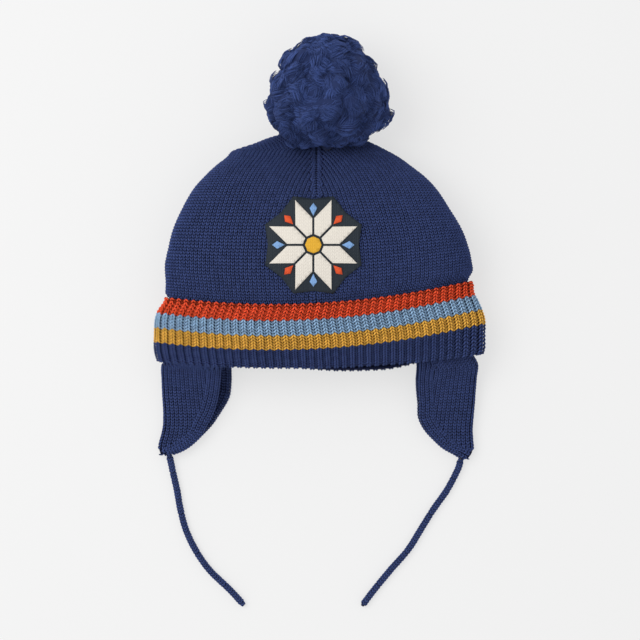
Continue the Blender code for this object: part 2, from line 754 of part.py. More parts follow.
def add_star(parent, collection):
    """The eight-pointed star: a dark backing, cream petals, coloured gems and a centre."""
    turn = 360 / STAR_POINTS
    notch = STAR_RADIUS / (2 * math.cos(math.radians(turn / 2)))
    gem_radius = notch * GEM_REACH
    outline = []
    for k in range(STAR_POINTS):
        outline.append(around_star(STAR_RADIUS + STAR_BORDER, turn * k + turn / 2))
        outline.append(around_star(gem_radius + STAR_BORDER * GEM_BORDER, turn * (k + 1)))
    lift = STAR_CLEARANCE
    thickness = STAR_BACKING_THICKNESS
    add_front_sheet(
        "star_backing", outline, lift, thickness, "near black", parent, collection
    )
    lift += STAR_BACKING_THICKNESS + GAP
    seam = STAR_SEAM
    centre_radius = STAR_RADIUS * STAR_CENTRE_SHARE
    for k in range(STAR_POINTS):
        middle = turn * k + turn / 2
        side = math.degrees(seam / notch)
        root = math.degrees(seam / (centre_radius + 2 * seam))
        petal = (
            around_star(centre_radius + 2 * seam, middle - turn / 2 + root),
            around_star(notch, middle - turn / 2 + side),
            around_star(STAR_RADIUS - seam, middle),
            around_star(notch, middle + turn / 2 - side),
            around_star(centre_radius + 2 * seam, middle + turn / 2 - root),
        )
        add_front_sheet(
            f"star_petal_{k + 1}",
            petal,
            lift,
            STAR_PIECE_THICKNESS,
            "cream",
            parent,
            collection,
        )
        edge = turn * (k + 1)
        wide = math.degrees(GEM_WIDTH_SHARE * STAR_RADIUS / 2 / gem_radius)
        gem = (
            around_star(notch + 2 * seam, edge),
            around_star(gem_radius - seam, edge + wide),
            around_star(gem_radius + STAR_BORDER, edge),
            around_star(gem_radius - seam, edge - wide),
        )
        colour = ("orange", "light blue")[k % 2]
        add_front_sheet(
            f"star_gem_{k + 1}",
            gem[::-1],
            lift,
            STAR_PIECE_THICKNESS,
            colour,
            parent,
            collection,
        )
    centre = [around_star(centre_radius, turn * k) for k in range(STAR_POINTS)]
    add_front_sheet(
        "star_centre", centre, lift, STAR_PIECE_THICKNESS, "mustard", parent, collection
    )


def settle(pieces, parent):
    """Puts the origin under the middle of the hat without its ties."""
    bpy.context.view_layer.update()
    graph = bpy.context.evaluated_depsgraph_get()
    corners = []
    for piece in pieces:
        shape = piece.evaluated_get(graph)
        corners += [piece.matrix_world @ Vector(corner) for corner in shape.bound_box]
    middle = [(min(c[k] for c in corners) + max(c[k] for c in corners)) / 2 for k in (0, 1)]
    parent.location = (-middle[0], -middle[1], 0.0)


def main():
    """Builds the hat."""
    for old in list(bpy.data.objects):
        bpy.data.objects.remove(old, do_unlink=True)
    collection = bpy.data.collections.new("bobble_hat")
    cutters = bpy.data.collections.new("cutters")
    bpy.context.scene.collection.children.link(collection)
    bpy.context.scene.collection.children.link(cutters)
    parent = bpy.data.objects.new("hat", None)
    collection.objects.link(parent)
    crown = add_object("crown", crown_mesh(), "navy", parent, collection)
    cuff = add_object("cuff", cuff_mesh(), "navy", parent, collection)
    left = add_ear_flap("ear_flap_left", -1, LEFT_FLAP, parent, collection)
    right = add_ear_flap("ear_flap_right", 1, RIGHT_FLAP, parent, collection)
    pompom = add_pompom(parent, collection, cutters)
    add_tie("tie_left", -1, LEFT_TIE_ROUTE, parent, collection)
    add_tie("tie_right", 1, RIGHT_TIE_ROUTE, parent, collection)
    add_star(parent, collection)
    settle([crown, cuff, left, right, pompom], parent)


main()
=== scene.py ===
"""Looks of a child's knitted bobble hat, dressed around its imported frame.

The hat lies on its back on a pale floor at z = 0, its pompom towards +Y, its ties towards
-Y and its front up to +Z. All sizes are metres. Stitches are small closed meshes that
Geometry Nodes place on the hat's own surfaces, and the pompom is made of laid strands.
"""
from __future__ import annotations

import json
import logging
import math
from dataclasses import dataclass, field
from enum import Enum

import bmesh
import bpy
import numpy as np
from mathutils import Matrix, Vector
from mathutils.bvhtree import BVHTree

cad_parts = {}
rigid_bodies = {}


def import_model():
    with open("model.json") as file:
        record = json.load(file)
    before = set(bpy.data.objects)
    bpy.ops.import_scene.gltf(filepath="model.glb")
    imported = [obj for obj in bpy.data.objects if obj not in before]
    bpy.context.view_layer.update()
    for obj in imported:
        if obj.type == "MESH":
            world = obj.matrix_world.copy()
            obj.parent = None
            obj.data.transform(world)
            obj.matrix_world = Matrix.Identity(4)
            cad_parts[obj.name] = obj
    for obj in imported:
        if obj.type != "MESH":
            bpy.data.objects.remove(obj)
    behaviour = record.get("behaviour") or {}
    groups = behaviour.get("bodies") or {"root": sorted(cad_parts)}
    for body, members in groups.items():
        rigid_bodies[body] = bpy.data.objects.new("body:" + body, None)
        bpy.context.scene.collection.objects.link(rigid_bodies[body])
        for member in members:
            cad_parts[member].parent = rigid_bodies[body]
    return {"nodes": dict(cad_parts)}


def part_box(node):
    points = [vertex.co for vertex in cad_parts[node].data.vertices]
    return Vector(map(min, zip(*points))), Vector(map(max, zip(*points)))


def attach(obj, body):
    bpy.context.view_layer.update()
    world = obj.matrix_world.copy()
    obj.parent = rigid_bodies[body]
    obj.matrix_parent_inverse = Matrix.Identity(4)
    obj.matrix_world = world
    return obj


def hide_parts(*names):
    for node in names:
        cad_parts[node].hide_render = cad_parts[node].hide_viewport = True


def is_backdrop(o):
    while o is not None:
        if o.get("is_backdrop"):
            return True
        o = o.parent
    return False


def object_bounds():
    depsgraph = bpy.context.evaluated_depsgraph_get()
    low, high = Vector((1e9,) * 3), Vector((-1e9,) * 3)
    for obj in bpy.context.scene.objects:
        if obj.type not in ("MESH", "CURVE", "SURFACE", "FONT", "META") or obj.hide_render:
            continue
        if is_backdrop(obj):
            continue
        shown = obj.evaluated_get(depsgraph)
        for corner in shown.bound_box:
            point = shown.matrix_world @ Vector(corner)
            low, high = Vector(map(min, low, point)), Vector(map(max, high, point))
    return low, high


LOG = logging.getLogger("bobble_hat")
BODY = "root"

Rows = tuple[tuple[float, ...], ...]
Colour = tuple[float, float, float]
Spot = tuple[float, float, float]
Material = bpy.types.Material
Mesh = bpy.types.Mesh
Object = bpy.types.Object
Array = np.ndarray

# Sizes that more than one sub-assembly uses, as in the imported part: the clear gap between
# pieces, the cuff's wall at its fold, how far a flap hangs below it and a flap's fold in X
GAP = 0.0003
CUFF_FOLD_WALL = 0.0032
FLAP_DROP = 0.0668
FLAP_FOLD_X = 1.0028 * 0.106

# Points of one mesh that are nearer than this are the same point
MERGE = 1e-6

# Height above the rim, left half width and right half width, as shares of the crown's
# height and half width
CROWN_OUTLINE: Rows = (
    (-0.050, 0.984, 0.980),
    (0.017, 1.004, 1.004),
    (0.083, 1.003, 1.005),
    (0.148, 0.997, 1.004),
    (0.190, 0.978, 0.987),
    (0.232, 0.940, 0.960),
    (0.262, 0.965, 0.938),
    (0.290, 0.966, 0.930),
    (0.325, 0.966, 0.934),
    (0.365, 0.970, 0.962),
    (0.400, 0.969, 0.957),
    (0.457, 0.951, 0.940),
    (0.546, 0.919, 0.893),
    (0.635, 0.864, 0.818),
    (0.724, 0.794, 0.737),
    (0.781, 0.726, 0.663),
    (0.830, 0.656, 0.577),
    (0.870, 0.588, 0.503),
    (0.900, 0.548, 0.430),
    (0.932, 0.420, 0.344),
    (0.963, 0.307, 0.234),
    (0.987, 0.179, 0.132),
    (1.000, 0.030, 0.000),
)

# Height above the rim; the front's and the back's height; how far the right side is drawn
# up and the middle sags; and how deep the gather's folds are
CROWN_SECTIONS: Rows = (
    (0.000, 0.625, 1.00, 0.023, 0.059, 0.0),
    (0.080, 0.658, 1.00, 0.056, 0.094, 0.0),
    (0.180, 0.712, 1.00, 0.056, 0.099, 0.0),
    (0.283, 0.800, 0.85, 0.052, 0.088, 0.0),
    (0.350, 0.885, 0.35, 0.045, 0.075, 0.0),
    (0.420, 0.950, 0.00, 0.037, 0.060, 0.0),
    (0.530, 1.000, 0.00, 0.025, 0.040, 0.0),
    (0.640, 0.975, 0.00, 0.012, 0.020, 0.2),
    (0.740, 0.880, 0.00, 0.004, 0.006, 0.5),
    (0.810, 0.760, 0.00, 0.000, 0.000, 0.8),
    (0.870, 0.610, 0.00, 0.000, 0.000, 1.0),
    (0.915, 0.480, 0.05, 0.000, 0.000, 0.8),
    (0.955, 0.370, 0.50, 0.000, 0.000, 0.5),
    (0.980, 0.290, 1.10, 0.000, 0.000, 0.3),
    (0.993, 0.230, 1.90, 0.000, 0.000, 0.1),
)

# Place across as a share of the crown's half width, and the share of the back rim's drop
BACK_RIM: Rows = (
    (-0.20, 0.0),
    (0.10, 0.8),
    (0.28, 1.0),
    (0.46, 1.0),
    (0.68, 0.0),
)

# Soft dents in the front: place across and up, half length and half width as shares of
# the crown's half width, the turn of its length from +X in degrees, and the depth
FRONT_DENTS: Rows = (
    (0.50, 0.00, 0.34, 0.10, -77.0, 0.0026),
    (-0.52, 0.16, 0.36, 0.13, 64.0, 0.0022),
    (-0.02, 0.50, 0.22, 0.14, 90.0, 0.0024),
)

# Round the cuff's bottom fold: how far out as a share of the cuff's thickness, and how
# far down as a share of the fold's
CUFF_FOLD_TURN: Rows = (
    (1.00, 0.0),
    (0.80, 0.7),
    (0.15, 1.0),
)

# Drop below the rim; the fold, the front layer's edge and the back layer's edge in from
# the fold's usual line; the front layer's height and the fold's rounding; and how far the
# back layer still stands up from the ground
LEFT_FLAP: Rows = (
    (0.070, 0.010, 0.872, 1.002, 0.600, 1.60, 0.70),
    (0.222, 0.000, 0.848, 1.000, 0.420, 1.00, 0.15),
    (0.385, 0.006, 0.813, 0.970, 0.320, 0.62, 0.00),
    (0.541, 0.015, 0.750, 0.850, 0.255, 0.40, 0.00),
    (0.667, 0.009, 0.654, 0.726, 0.215, 0.30, 0.00),
    (0.768, -0.017, 0.572, 0.590, 0.190, 0.22, 0.00),
    (0.858, -0.054, 0.446, 0.456, 0.175, 0.17, 0.00),
    (0.924, -0.065, 0.311, 0.317, 0.163, 0.14, 0.00),
    (0.970, -0.045, 0.144, 0.148, 0.155, 0.10, 0.00),
)
RIGHT_FLAP: Rows = (
    (0.060, 0.000, 0.846, 0.872, 0.600, 1.60, 0.70),
    (0.190, 0.010, 0.850, 0.880, 0.440, 1.00, 0.20),
    (0.330, 0.022, 0.839, 0.870, 0.340, 0.66, 0.00),
    (0.460, 0.032, 0.826, 0.855, 0.280, 0.46, 0.00),
    (0.600, 0.047, 0.824, 0.846, 0.232, 0.34, 0.00),
    (0.720, 0.056, 0.737, 0.761, 0.200, 0.26, 0.00),
    (0.830, 0.047, 0.600, 0.617, 0.180, 0.20, 0.00),
    (0.910, 0.039, 0.474, 0.485, 0.166, 0.16, 0.00),
    (0.965, 0.056, 0.333, 0.339, 0.158, 0.12, 0.00),
    (1.010, 0.104, 0.230, 0.234, 0.153, 0.09, 0.00),
)

# The ties' routes on the ground, from the flap's tip to the free end: how far in from the
# flap's fold and how far below the flap's drop, as shares of the tie's reach
LEFT_TIE_ROUTE: Rows = (
    (0.051, -0.010),
    (0.071, 0.088),
    (0.101, 0.223),
    (0.125, 0.358),
    (0.162, 0.493),
    (0.226, 0.628),
    (0.320, 0.763),
    (0.459, 0.898),
    (0.553, 1.000),
)
RIGHT_TIE_ROUTE: Rows = (
    (0.111, 0.018),
    (0.132, 0.088),
    (0.202, 0.223),
    (0.297, 0.358),
    (0.381, 0.493),
    (0.466, 0.628),
    (0.584, 0.763),
    (0.695, 0.898),
    (0.776, 1.006),
)


def column(rows: Rows, index: int, keys: Array | float) -> Array:
    """A table's column at keys in its first column, along a smooth curve.

    Args:
        rows: The table, in rising order of its first column.
        index: The column to read.
        keys: Where to read it.

    Returns:
        The column's values at the keys.
    """
    table = np.array(rows)
    place = table[:, 0]
    value = table[:, index]
    slope = np.empty_like(value)
    slope[1:-1] = (value[2:] - value[:-2]) / (place[2:] - place[:-2])
    slope[0] = (value[1] - value[0]) / (place[1] - place[0])
    slope[-1] = (value[-1] - value[-2]) / (place[-1] - place[-2])
    keys = np.asarray(keys, float)
    k = np.clip(np.searchsorted(place, keys, side="right") - 1, 0, len(place) - 2)
    step = place[k + 1] - place[k]
    t = np.clip((keys - place[k]) / step, 0.0, 1.0)
    start = (1 + 2 * t) * (1 - t) ** 2 * value[k]
    end = t * t * (3 - 2 * t) * value[k + 1]
    bends = t * (1 - t) ** 2 * slope[k] - t * t * (1 - t) * slope[k + 1]
    return start + end + bends * step


def unit(vectors: Array) -> Array:
    """Vectors of the same directions and length 1."""
    length = np.linalg.norm(vectors, axis=-1, keepdims=True)
    return vectors / np.maximum(length, 1e-12)


def arc_lengths(points: Array) -> Array:
    """Distance along a line of points from its first to each."""
    steps = np.linalg.norm(np.diff(points, axis=0), axis=1)
    return np.concatenate([[0.0], np.cumsum(steps)])


def sizes_of(wide: Array, high: Array, thick: float) -> Array:
    """Rows of widths, lengths and one thickness, for the stitches of a course."""
    return np.stack([wide, high, np.full(len(high), thick)], axis=1)


def face_outwards(mesh: Mesh, merge: float = 0.0) -> None:
    """Turns a closed mesh's faces outwards, after points nearer than merge are joined."""
    bm = bmesh.new()
    bm.from_mesh(mesh)
    if merge:
        bmesh.ops.remove_doubles(bm, verts=bm.verts, dist=merge)
    bmesh.ops.recalc_face_normals(bm, faces=bm.faces)
    bm.to_mesh(mesh)
    bm.free()


def sample(values: Array, places: Array) -> Array:
    """Rows of values at places counted in rows, each between its two neighbours."""
    low = np.clip(np.floor(places).astype(int), 0, len(values) - 2)
    part = np.clip(places - low, 0.0, 1.0)[:, None]
    return values[low] * (1 - part) + values[low + 1] * part


class Wires:
    """Adds nodes to one node tree and joins them."""

    def __init__(self, tree: bpy.types.NodeTree) -> None:
        self.tree = tree

    def node(self, kind: str, inputs: dict | None = None, **settings: object) -> bpy.types.Node:
        """A new node.

        Args:
            kind: Its type.
            inputs: Plain values or sockets, by the input's name or number.
            settings: Values of the node's own properties.

        Returns:
            The node.
        """
        made = self.tree.nodes.new(kind)
        for name, value in settings.items():
            setattr(made, name, value)
        for key, value in (inputs or {}).items():
            self.put(value, made.inputs[key])
        return made

    def put(self, value: object, socket: bpy.types.NodeSocket) -> None:
        """Joins another node's socket to a socket, or sets a plain value on it."""
        if isinstance(value, bpy.types.NodeSocket):
            self.tree.links.new(value, socket)
        elif isinstance(value, tuple):
            socket.default_value = value[: len(socket.default_value)]
        else:
            socket.default_value = value

    def maths(self, operation: str, *values: object) -> bpy.types.NodeSocket:
        """One sum on plain values or sockets, in a shader or a geometry tree."""
        return self.node("ShaderNodeMath", dict(enumerate(values)), operation=operation).outputs[0]

    def blend(self, amount: object, first: object, second: object) -> bpy.types.NodeSocket:
        """A colour between two, by an amount from 0 to 1."""
        mix = {"Factor": amount, 6: first, 7: second}
        return self.node("ShaderNodeMix", mix, data_type="RGBA").outputs[2]

    def coat(
        self,
        shader: bpy.types.Node,
        colour: object,
        gain: object,
        height: object,
        relief: float,
    ) -> None:
        """Gives a shader a colour times a gain, and a relief of a depth.

        Args:
            shader: The material's own shader.
            colour: Its colour, plain or from a socket.
            gain: How bright the colour is.
            height: Heights from 0 to 1 over the surface.
            relief: What a height of 1 measures.
        """
        tint = self.node("ShaderNodeVectorMath", {0: colour, "Scale": gain}, operation="SCALE")
        self.put(tint.outputs[0], shader.inputs["Base Color"])
        bump = self.node("ShaderNodeBump", {"Distance": relief, "Height": height})
        self.put(bump.outputs[0], shader.inputs["Normal"])


def blank_material(name: str, roughness: float, specular: float) -> tuple[Material, Wires, bpy.types.Node]:
    """A new material with its wires and its shader, whose shine is set."""
    made = bpy.data.materials.new(name)
    made.use_nodes = True
    shader = made.node_tree.nodes["Principled BSDF"]
    shader.inputs["Roughness"].default_value = roughness
    shader.inputs["Specular IOR Level"].default_value = specular
    return made, Wires(made.node_tree), shader


class Effects:
    """Shader effects that more than one finish uses, each built once as a node group.

    Attributes:
        ply_sharpness: How narrow the grooves between plies are.
        ply_depth: How deep they are beside the loose fibres.
        end_sharpness: How near a strand's ends its shadow stays.
    """

    ply_sharpness: float = 4.0
    ply_depth: float = 0.7
    end_sharpness: float = 1.8

    def __init__(self) -> None:
        self.yarn = self._yarn()
        self.knit = self._knit()

    def _group(self, name: str, inputs: dict[str, float], outputs: list[str]) -> Wires:
        """An empty group with a vector input and number inputs and outputs."""
        tree = bpy.data.node_groups.new(name, "ShaderNodeTree")
        tree.interface.new_socket(name="Vector", in_out="INPUT", socket_type="NodeSocketVector")
        kind = "NodeSocketFloat"
        for label, value in inputs.items():
            socket = tree.interface.new_socket(name=label, in_out="INPUT", socket_type=kind)
            socket.default_value = value
        for label in outputs:
            tree.interface.new_socket(name=label, in_out="OUTPUT", socket_type=kind)
        return Wires(tree)

    def _yarn(self) -> bpy.types.NodeTree:
        """Plied yarn: slanting grooves between its plies, and loose fibres over them."""
        wires = self._group(
            "plied yarn",
            {"Plies": 3.0, "Turns": 2.0, "Fibre Scale": 2600.0},
            ["Height", "Hollow", "Fibre", "End", "Strand"],
        )
        source = wires.node("NodeGroupInput").outputs
        uv = wires.node("ShaderNodeUVMap", uv_map="yarn")
        parts = wires.node("ShaderNodeSeparateXYZ", {0: uv.outputs[0]}).outputs
        along = wires.maths("MULTIPLY", parts["Y"], source["Turns"])
        around = wires.maths("MULTIPLY", parts["X"], source["Plies"])
        phase = wires.maths("FRACT", wires.maths("ADD", along, around))
        away = wires.maths("ABSOLUTE", wires.maths("SUBTRACT", phase, 0.5))
        hollow = wires.maths("POWER", wires.maths("MULTIPLY", away, 2.0), self.ply_sharpness)
        grain = {"Vector": source["Vector"], "Scale": source["Fibre Scale"], "Detail": 3.0}
        fibre = wires.node("ShaderNodeTexNoise", grain).outputs["Fac"]
        loose = wires.maths("MULTIPLY", fibre, 0.5)
        height = wires.maths("SUBTRACT", loose, wires.maths("MULTIPLY", hollow, self.ply_depth))
        from_middle = wires.maths("SUBTRACT", wires.maths("MULTIPLY", parts["Y"], 2.0), 1.0)
        to_end = wires.maths("POWER", wires.maths("ABSOLUTE", from_middle), self.end_sharpness)
        end = wires.maths("MINIMUM", to_end, 1.0)
        number = {"W": wires.maths("FLOOR", parts["X"])}
        strand = wires.node("ShaderNodeTexWhiteNoise", number, noise_dimensions="1D").outputs["Value"]
        results = {"Height": height, "Hollow": hollow, "Fibre": fibre, "End": end, "Strand": strand}
        wires.node("NodeGroupOutput", results)
        return wires.tree

    def _knit(self) -> bpy.types.NodeTree:
        """Small V stitches in a flat pattern, one wale by one course for each unit."""
        wires = self._group("knit courses", {"Slope": 1.5}, ["Height", "Hollow"])
        source = wires.node("NodeGroupInput").outputs
        parts = wires.node("ShaderNodeSeparateXYZ", {0: source["Vector"]}).outputs
        across = wires.maths("SUBTRACT", wires.maths("FRACT", parts["X"]), 0.5)
        aside = wires.maths("ABSOLUTE", across)
        lean = wires.maths("MULTIPLY", aside, source["Slope"])
        phase = wires.maths("FRACT", wires.maths("SUBTRACT", parts["Y"], lean))
        up = wires.maths("SINE", wires.maths("MULTIPLY", phase, math.pi))
        leg = wires.maths("SUBTRACT", aside, 0.25)
        near = wires.maths("SUBTRACT", 1.0, wires.maths("MULTIPLY", wires.maths("ABSOLUTE", leg), 4.0))
        height = wires.maths("MULTIPLY", up, wires.maths("POWER", near, 0.5))
        hollow = wires.maths("SUBTRACT", 1.0, height)
        wires.node("NodeGroupOutput", {"Height": height, "Hollow": hollow})
        return wires.tree


@dataclass(frozen=True)
class YarnFinish:
    """Knitted or cut yarn in one colour.

    Attributes:
        ridge: Colour of the yarn's outside.
        hollow: Colour between its plies, darker than the ridge: painted shade in the grooves.
        sheen: How much loose fibres catch the light.
        fleck: How much fine fibres differ.
        variation: How much one stitch differs from the next.
        strand_variation: How much one strand of a stitch differs from the others: partly random tone, partly
            painted light that makes one leg of each stitch lighter than the other.
        end_shadow: How much darker the strands' ends are, where they pass under others.
        turns: Turns of the plies along a strand.
    """

    name: str
    ridge: Colour
    hollow: Colour
    roughness: float = 0.9
    sheen: float = 0.03
    relief: float = 0.00012
    specular: float = 0.06
    fleck: float = 0.5
    variation: float = 0.12
    strand_variation: float = 0.12
    end_shadow: float = 0.72
    turns: float = 2.0

    def material(self, effects: Effects) -> Material:
        """The finish as a material.

        Args:
            effects: The shared node groups.

        Returns:
            A material for meshes that carry a "yarn" UV map and a "shade" attribute.
        """
        made, wires, shader = blank_material(self.name, self.roughness, self.specular)
        place = wires.node("ShaderNodeTexCoord").outputs["Object"]
        inputs = {"Vector": place, "Turns": self.turns}
        yarn = wires.node("ShaderNodeGroup", inputs, node_tree=effects.yarn).outputs
        shade = wires.node("ShaderNodeAttribute", attribute_name="shade").outputs["Fac"]
        # The grooves between the plies get the hollow colour: painted shade, darker than the yarn's outside.
        plain = wires.blend(yarn["Hollow"], (*self.ridge, 1.0), (*self.hollow, 1.0))
        fleck = wires.maths("MULTIPLY", wires.maths("SUBTRACT", yarn["Fibre"], 0.5), self.fleck)
        drift = wires.maths("MULTIPLY", shade, self.variation)
        # Each strand of a shape keeps its own tone. On the pompom this is random fibre tone; on a stitch it
        # is painted light, one leg lighter than the other.
        lean = wires.maths("SUBTRACT", yarn["Strand"], 0.5)
        lean = wires.maths("MULTIPLY", lean, 2 * self.strand_variation)
        gain = wires.maths("ADD", 1.0, wires.maths("ADD", fleck, wires.maths("ADD", drift, lean)))
        hidden = wires.maths("MULTIPLY", yarn["End"], self.end_shadow)
        gain = wires.maths("MULTIPLY", gain, wires.maths("SUBTRACT", 1.0, hidden))
        wires.coat(shader, plain, gain, yarn["Height"], self.relief)
        shader.inputs["Sheen Weight"].default_value = self.sheen
        return made


@dataclass(frozen=True)
class KnitFinish:
    """Knitting seen as a flat pattern, for linings and the ground under the stitches.

    Attributes:
        bands: Start height in courses and colour of each band, from the bottom up.
        shadow: Share of light left between the stitches.
    """

    name: str
    bands: tuple[tuple[float, Colour], ...]
    relief: float = 0.0006
    shadow: float = 0.35
    roughness: float = 0.92
    specular: float = 0.05

    def material(self, effects: Effects) -> Material:
        """The finish as a material for meshes with a "knit" UV map in wales and courses."""
        made, wires, shader = blank_material(self.name, self.roughness, self.specular)
        uv = wires.node("ShaderNodeUVMap", uv_map="knit").outputs[0]
        knit = wires.node("ShaderNodeGroup", {"Vector": uv}, node_tree=effects.knit)
        parts = wires.node("ShaderNodeSeparateXYZ", {0: uv})
        colour: object = (*self.bands[0][1], 1.0)
        for start, band in self.bands[1:]:
            above = wires.maths("GREATER_THAN", parts.outputs["Y"], start)
            colour = wires.blend(above, colour, (*band, 1.0))
        lost = wires.maths("MULTIPLY", knit.outputs["Hollow"], 1 - self.shadow)
        gain = wires.maths("SUBTRACT", 1.0, lost)
        wires.coat(shader, colour, gain, knit.outputs["Height"], self.relief)
        return made


@dataclass(frozen=True)
class PrintFinish:
    """A smooth transfer print that takes up a little of the knitting's relief.

    Attributes:
        grain_scale: Grains in a metre.
        speck: How much the grains differ.
        hollow_shadow: Share of light lost between the wales.
    """

    name: str
    colour: Colour
    relief: float = 0.00022
    roughness: float = 0.62
    specular: float = 0.3
    grain_scale: float = 900.0
    speck: float = 0.16
    hollow_shadow: float = 0.10

    def material(self, effects: Effects) -> Material:
        """The finish as a material for meshes with a "knit" UV map in wales and courses."""
        made, wires, shader = blank_material(self.name, self.roughness, self.specular)
        uv = wires.node("ShaderNodeUVMap", uv_map="knit").outputs[0]
        knit = wires.node("ShaderNodeGroup", {"Vector": uv}, node_tree=effects.knit)
        place = wires.node("ShaderNodeTexCoord").outputs["Object"]
        grain = wires.node("ShaderNodeTexNoise", {"Vector": place, "Scale": self.grain_scale})
        speck = wires.maths("MULTIPLY", wires.maths("SUBTRACT", grain.outputs["Fac"], 0.5), self.speck)
        lost = wires.maths("MULTIPLY", knit.outputs["Hollow"], self.hollow_shadow)
        gain = wires.maths("SUBTRACT", wires.maths("ADD", 1.0, speck), lost)
        wires.coat(shader, self.colour, gain, knit.outputs["Height"], self.relief)
        return made


@dataclass
class Places:
    """Where small repeated pieces go: their spots, directions and sizes."""

    spots: list[Array] = field(default_factory=list)
    outward: list[Array] = field(default_factory=list)
    along: list[Array] = field(default_factory=list)
    size: list[Array] = field(default_factory=list)

    def add(self, spots: Array, outward: Array, along: Array, size: Array) -> None:
        """Adds rows of spots with the directions out of the surface and along the piece."""
        self.spots.append(spots)
        self.outward.append(outward)
        self.along.append(along)
        self.size.append(size)

    def mesh(self, seed: int) -> Mesh:
        """The places as a mesh of loose points with attributes.

        Args:
            seed: Seed of the shade that each place gets.

        Returns:
            A mesh with "outward", "along", "size" and "shade" on its points.
        """
        spots = np.concatenate(self.spots).astype(np.float32)
        made = bpy.data.meshes.new("places")
        made.vertices.add(len(spots))
        made.vertices.foreach_set("co", spots.ravel())
        for name in ("outward", "along", "size"):
            values = np.concatenate(getattr(self, name)).astype(np.float32)
            layer = made.attributes.new(name, "FLOAT_VECTOR", "POINT")
            layer.data.foreach_set("vector", values.ravel())
        shade = np.random.default_rng(seed).uniform(-1, 1, len(spots)).astype(np.float32)
        layer = made.attributes.new("shade", "FLOAT", "POINT")
        layer.data.foreach_set("value", shade)
        return made


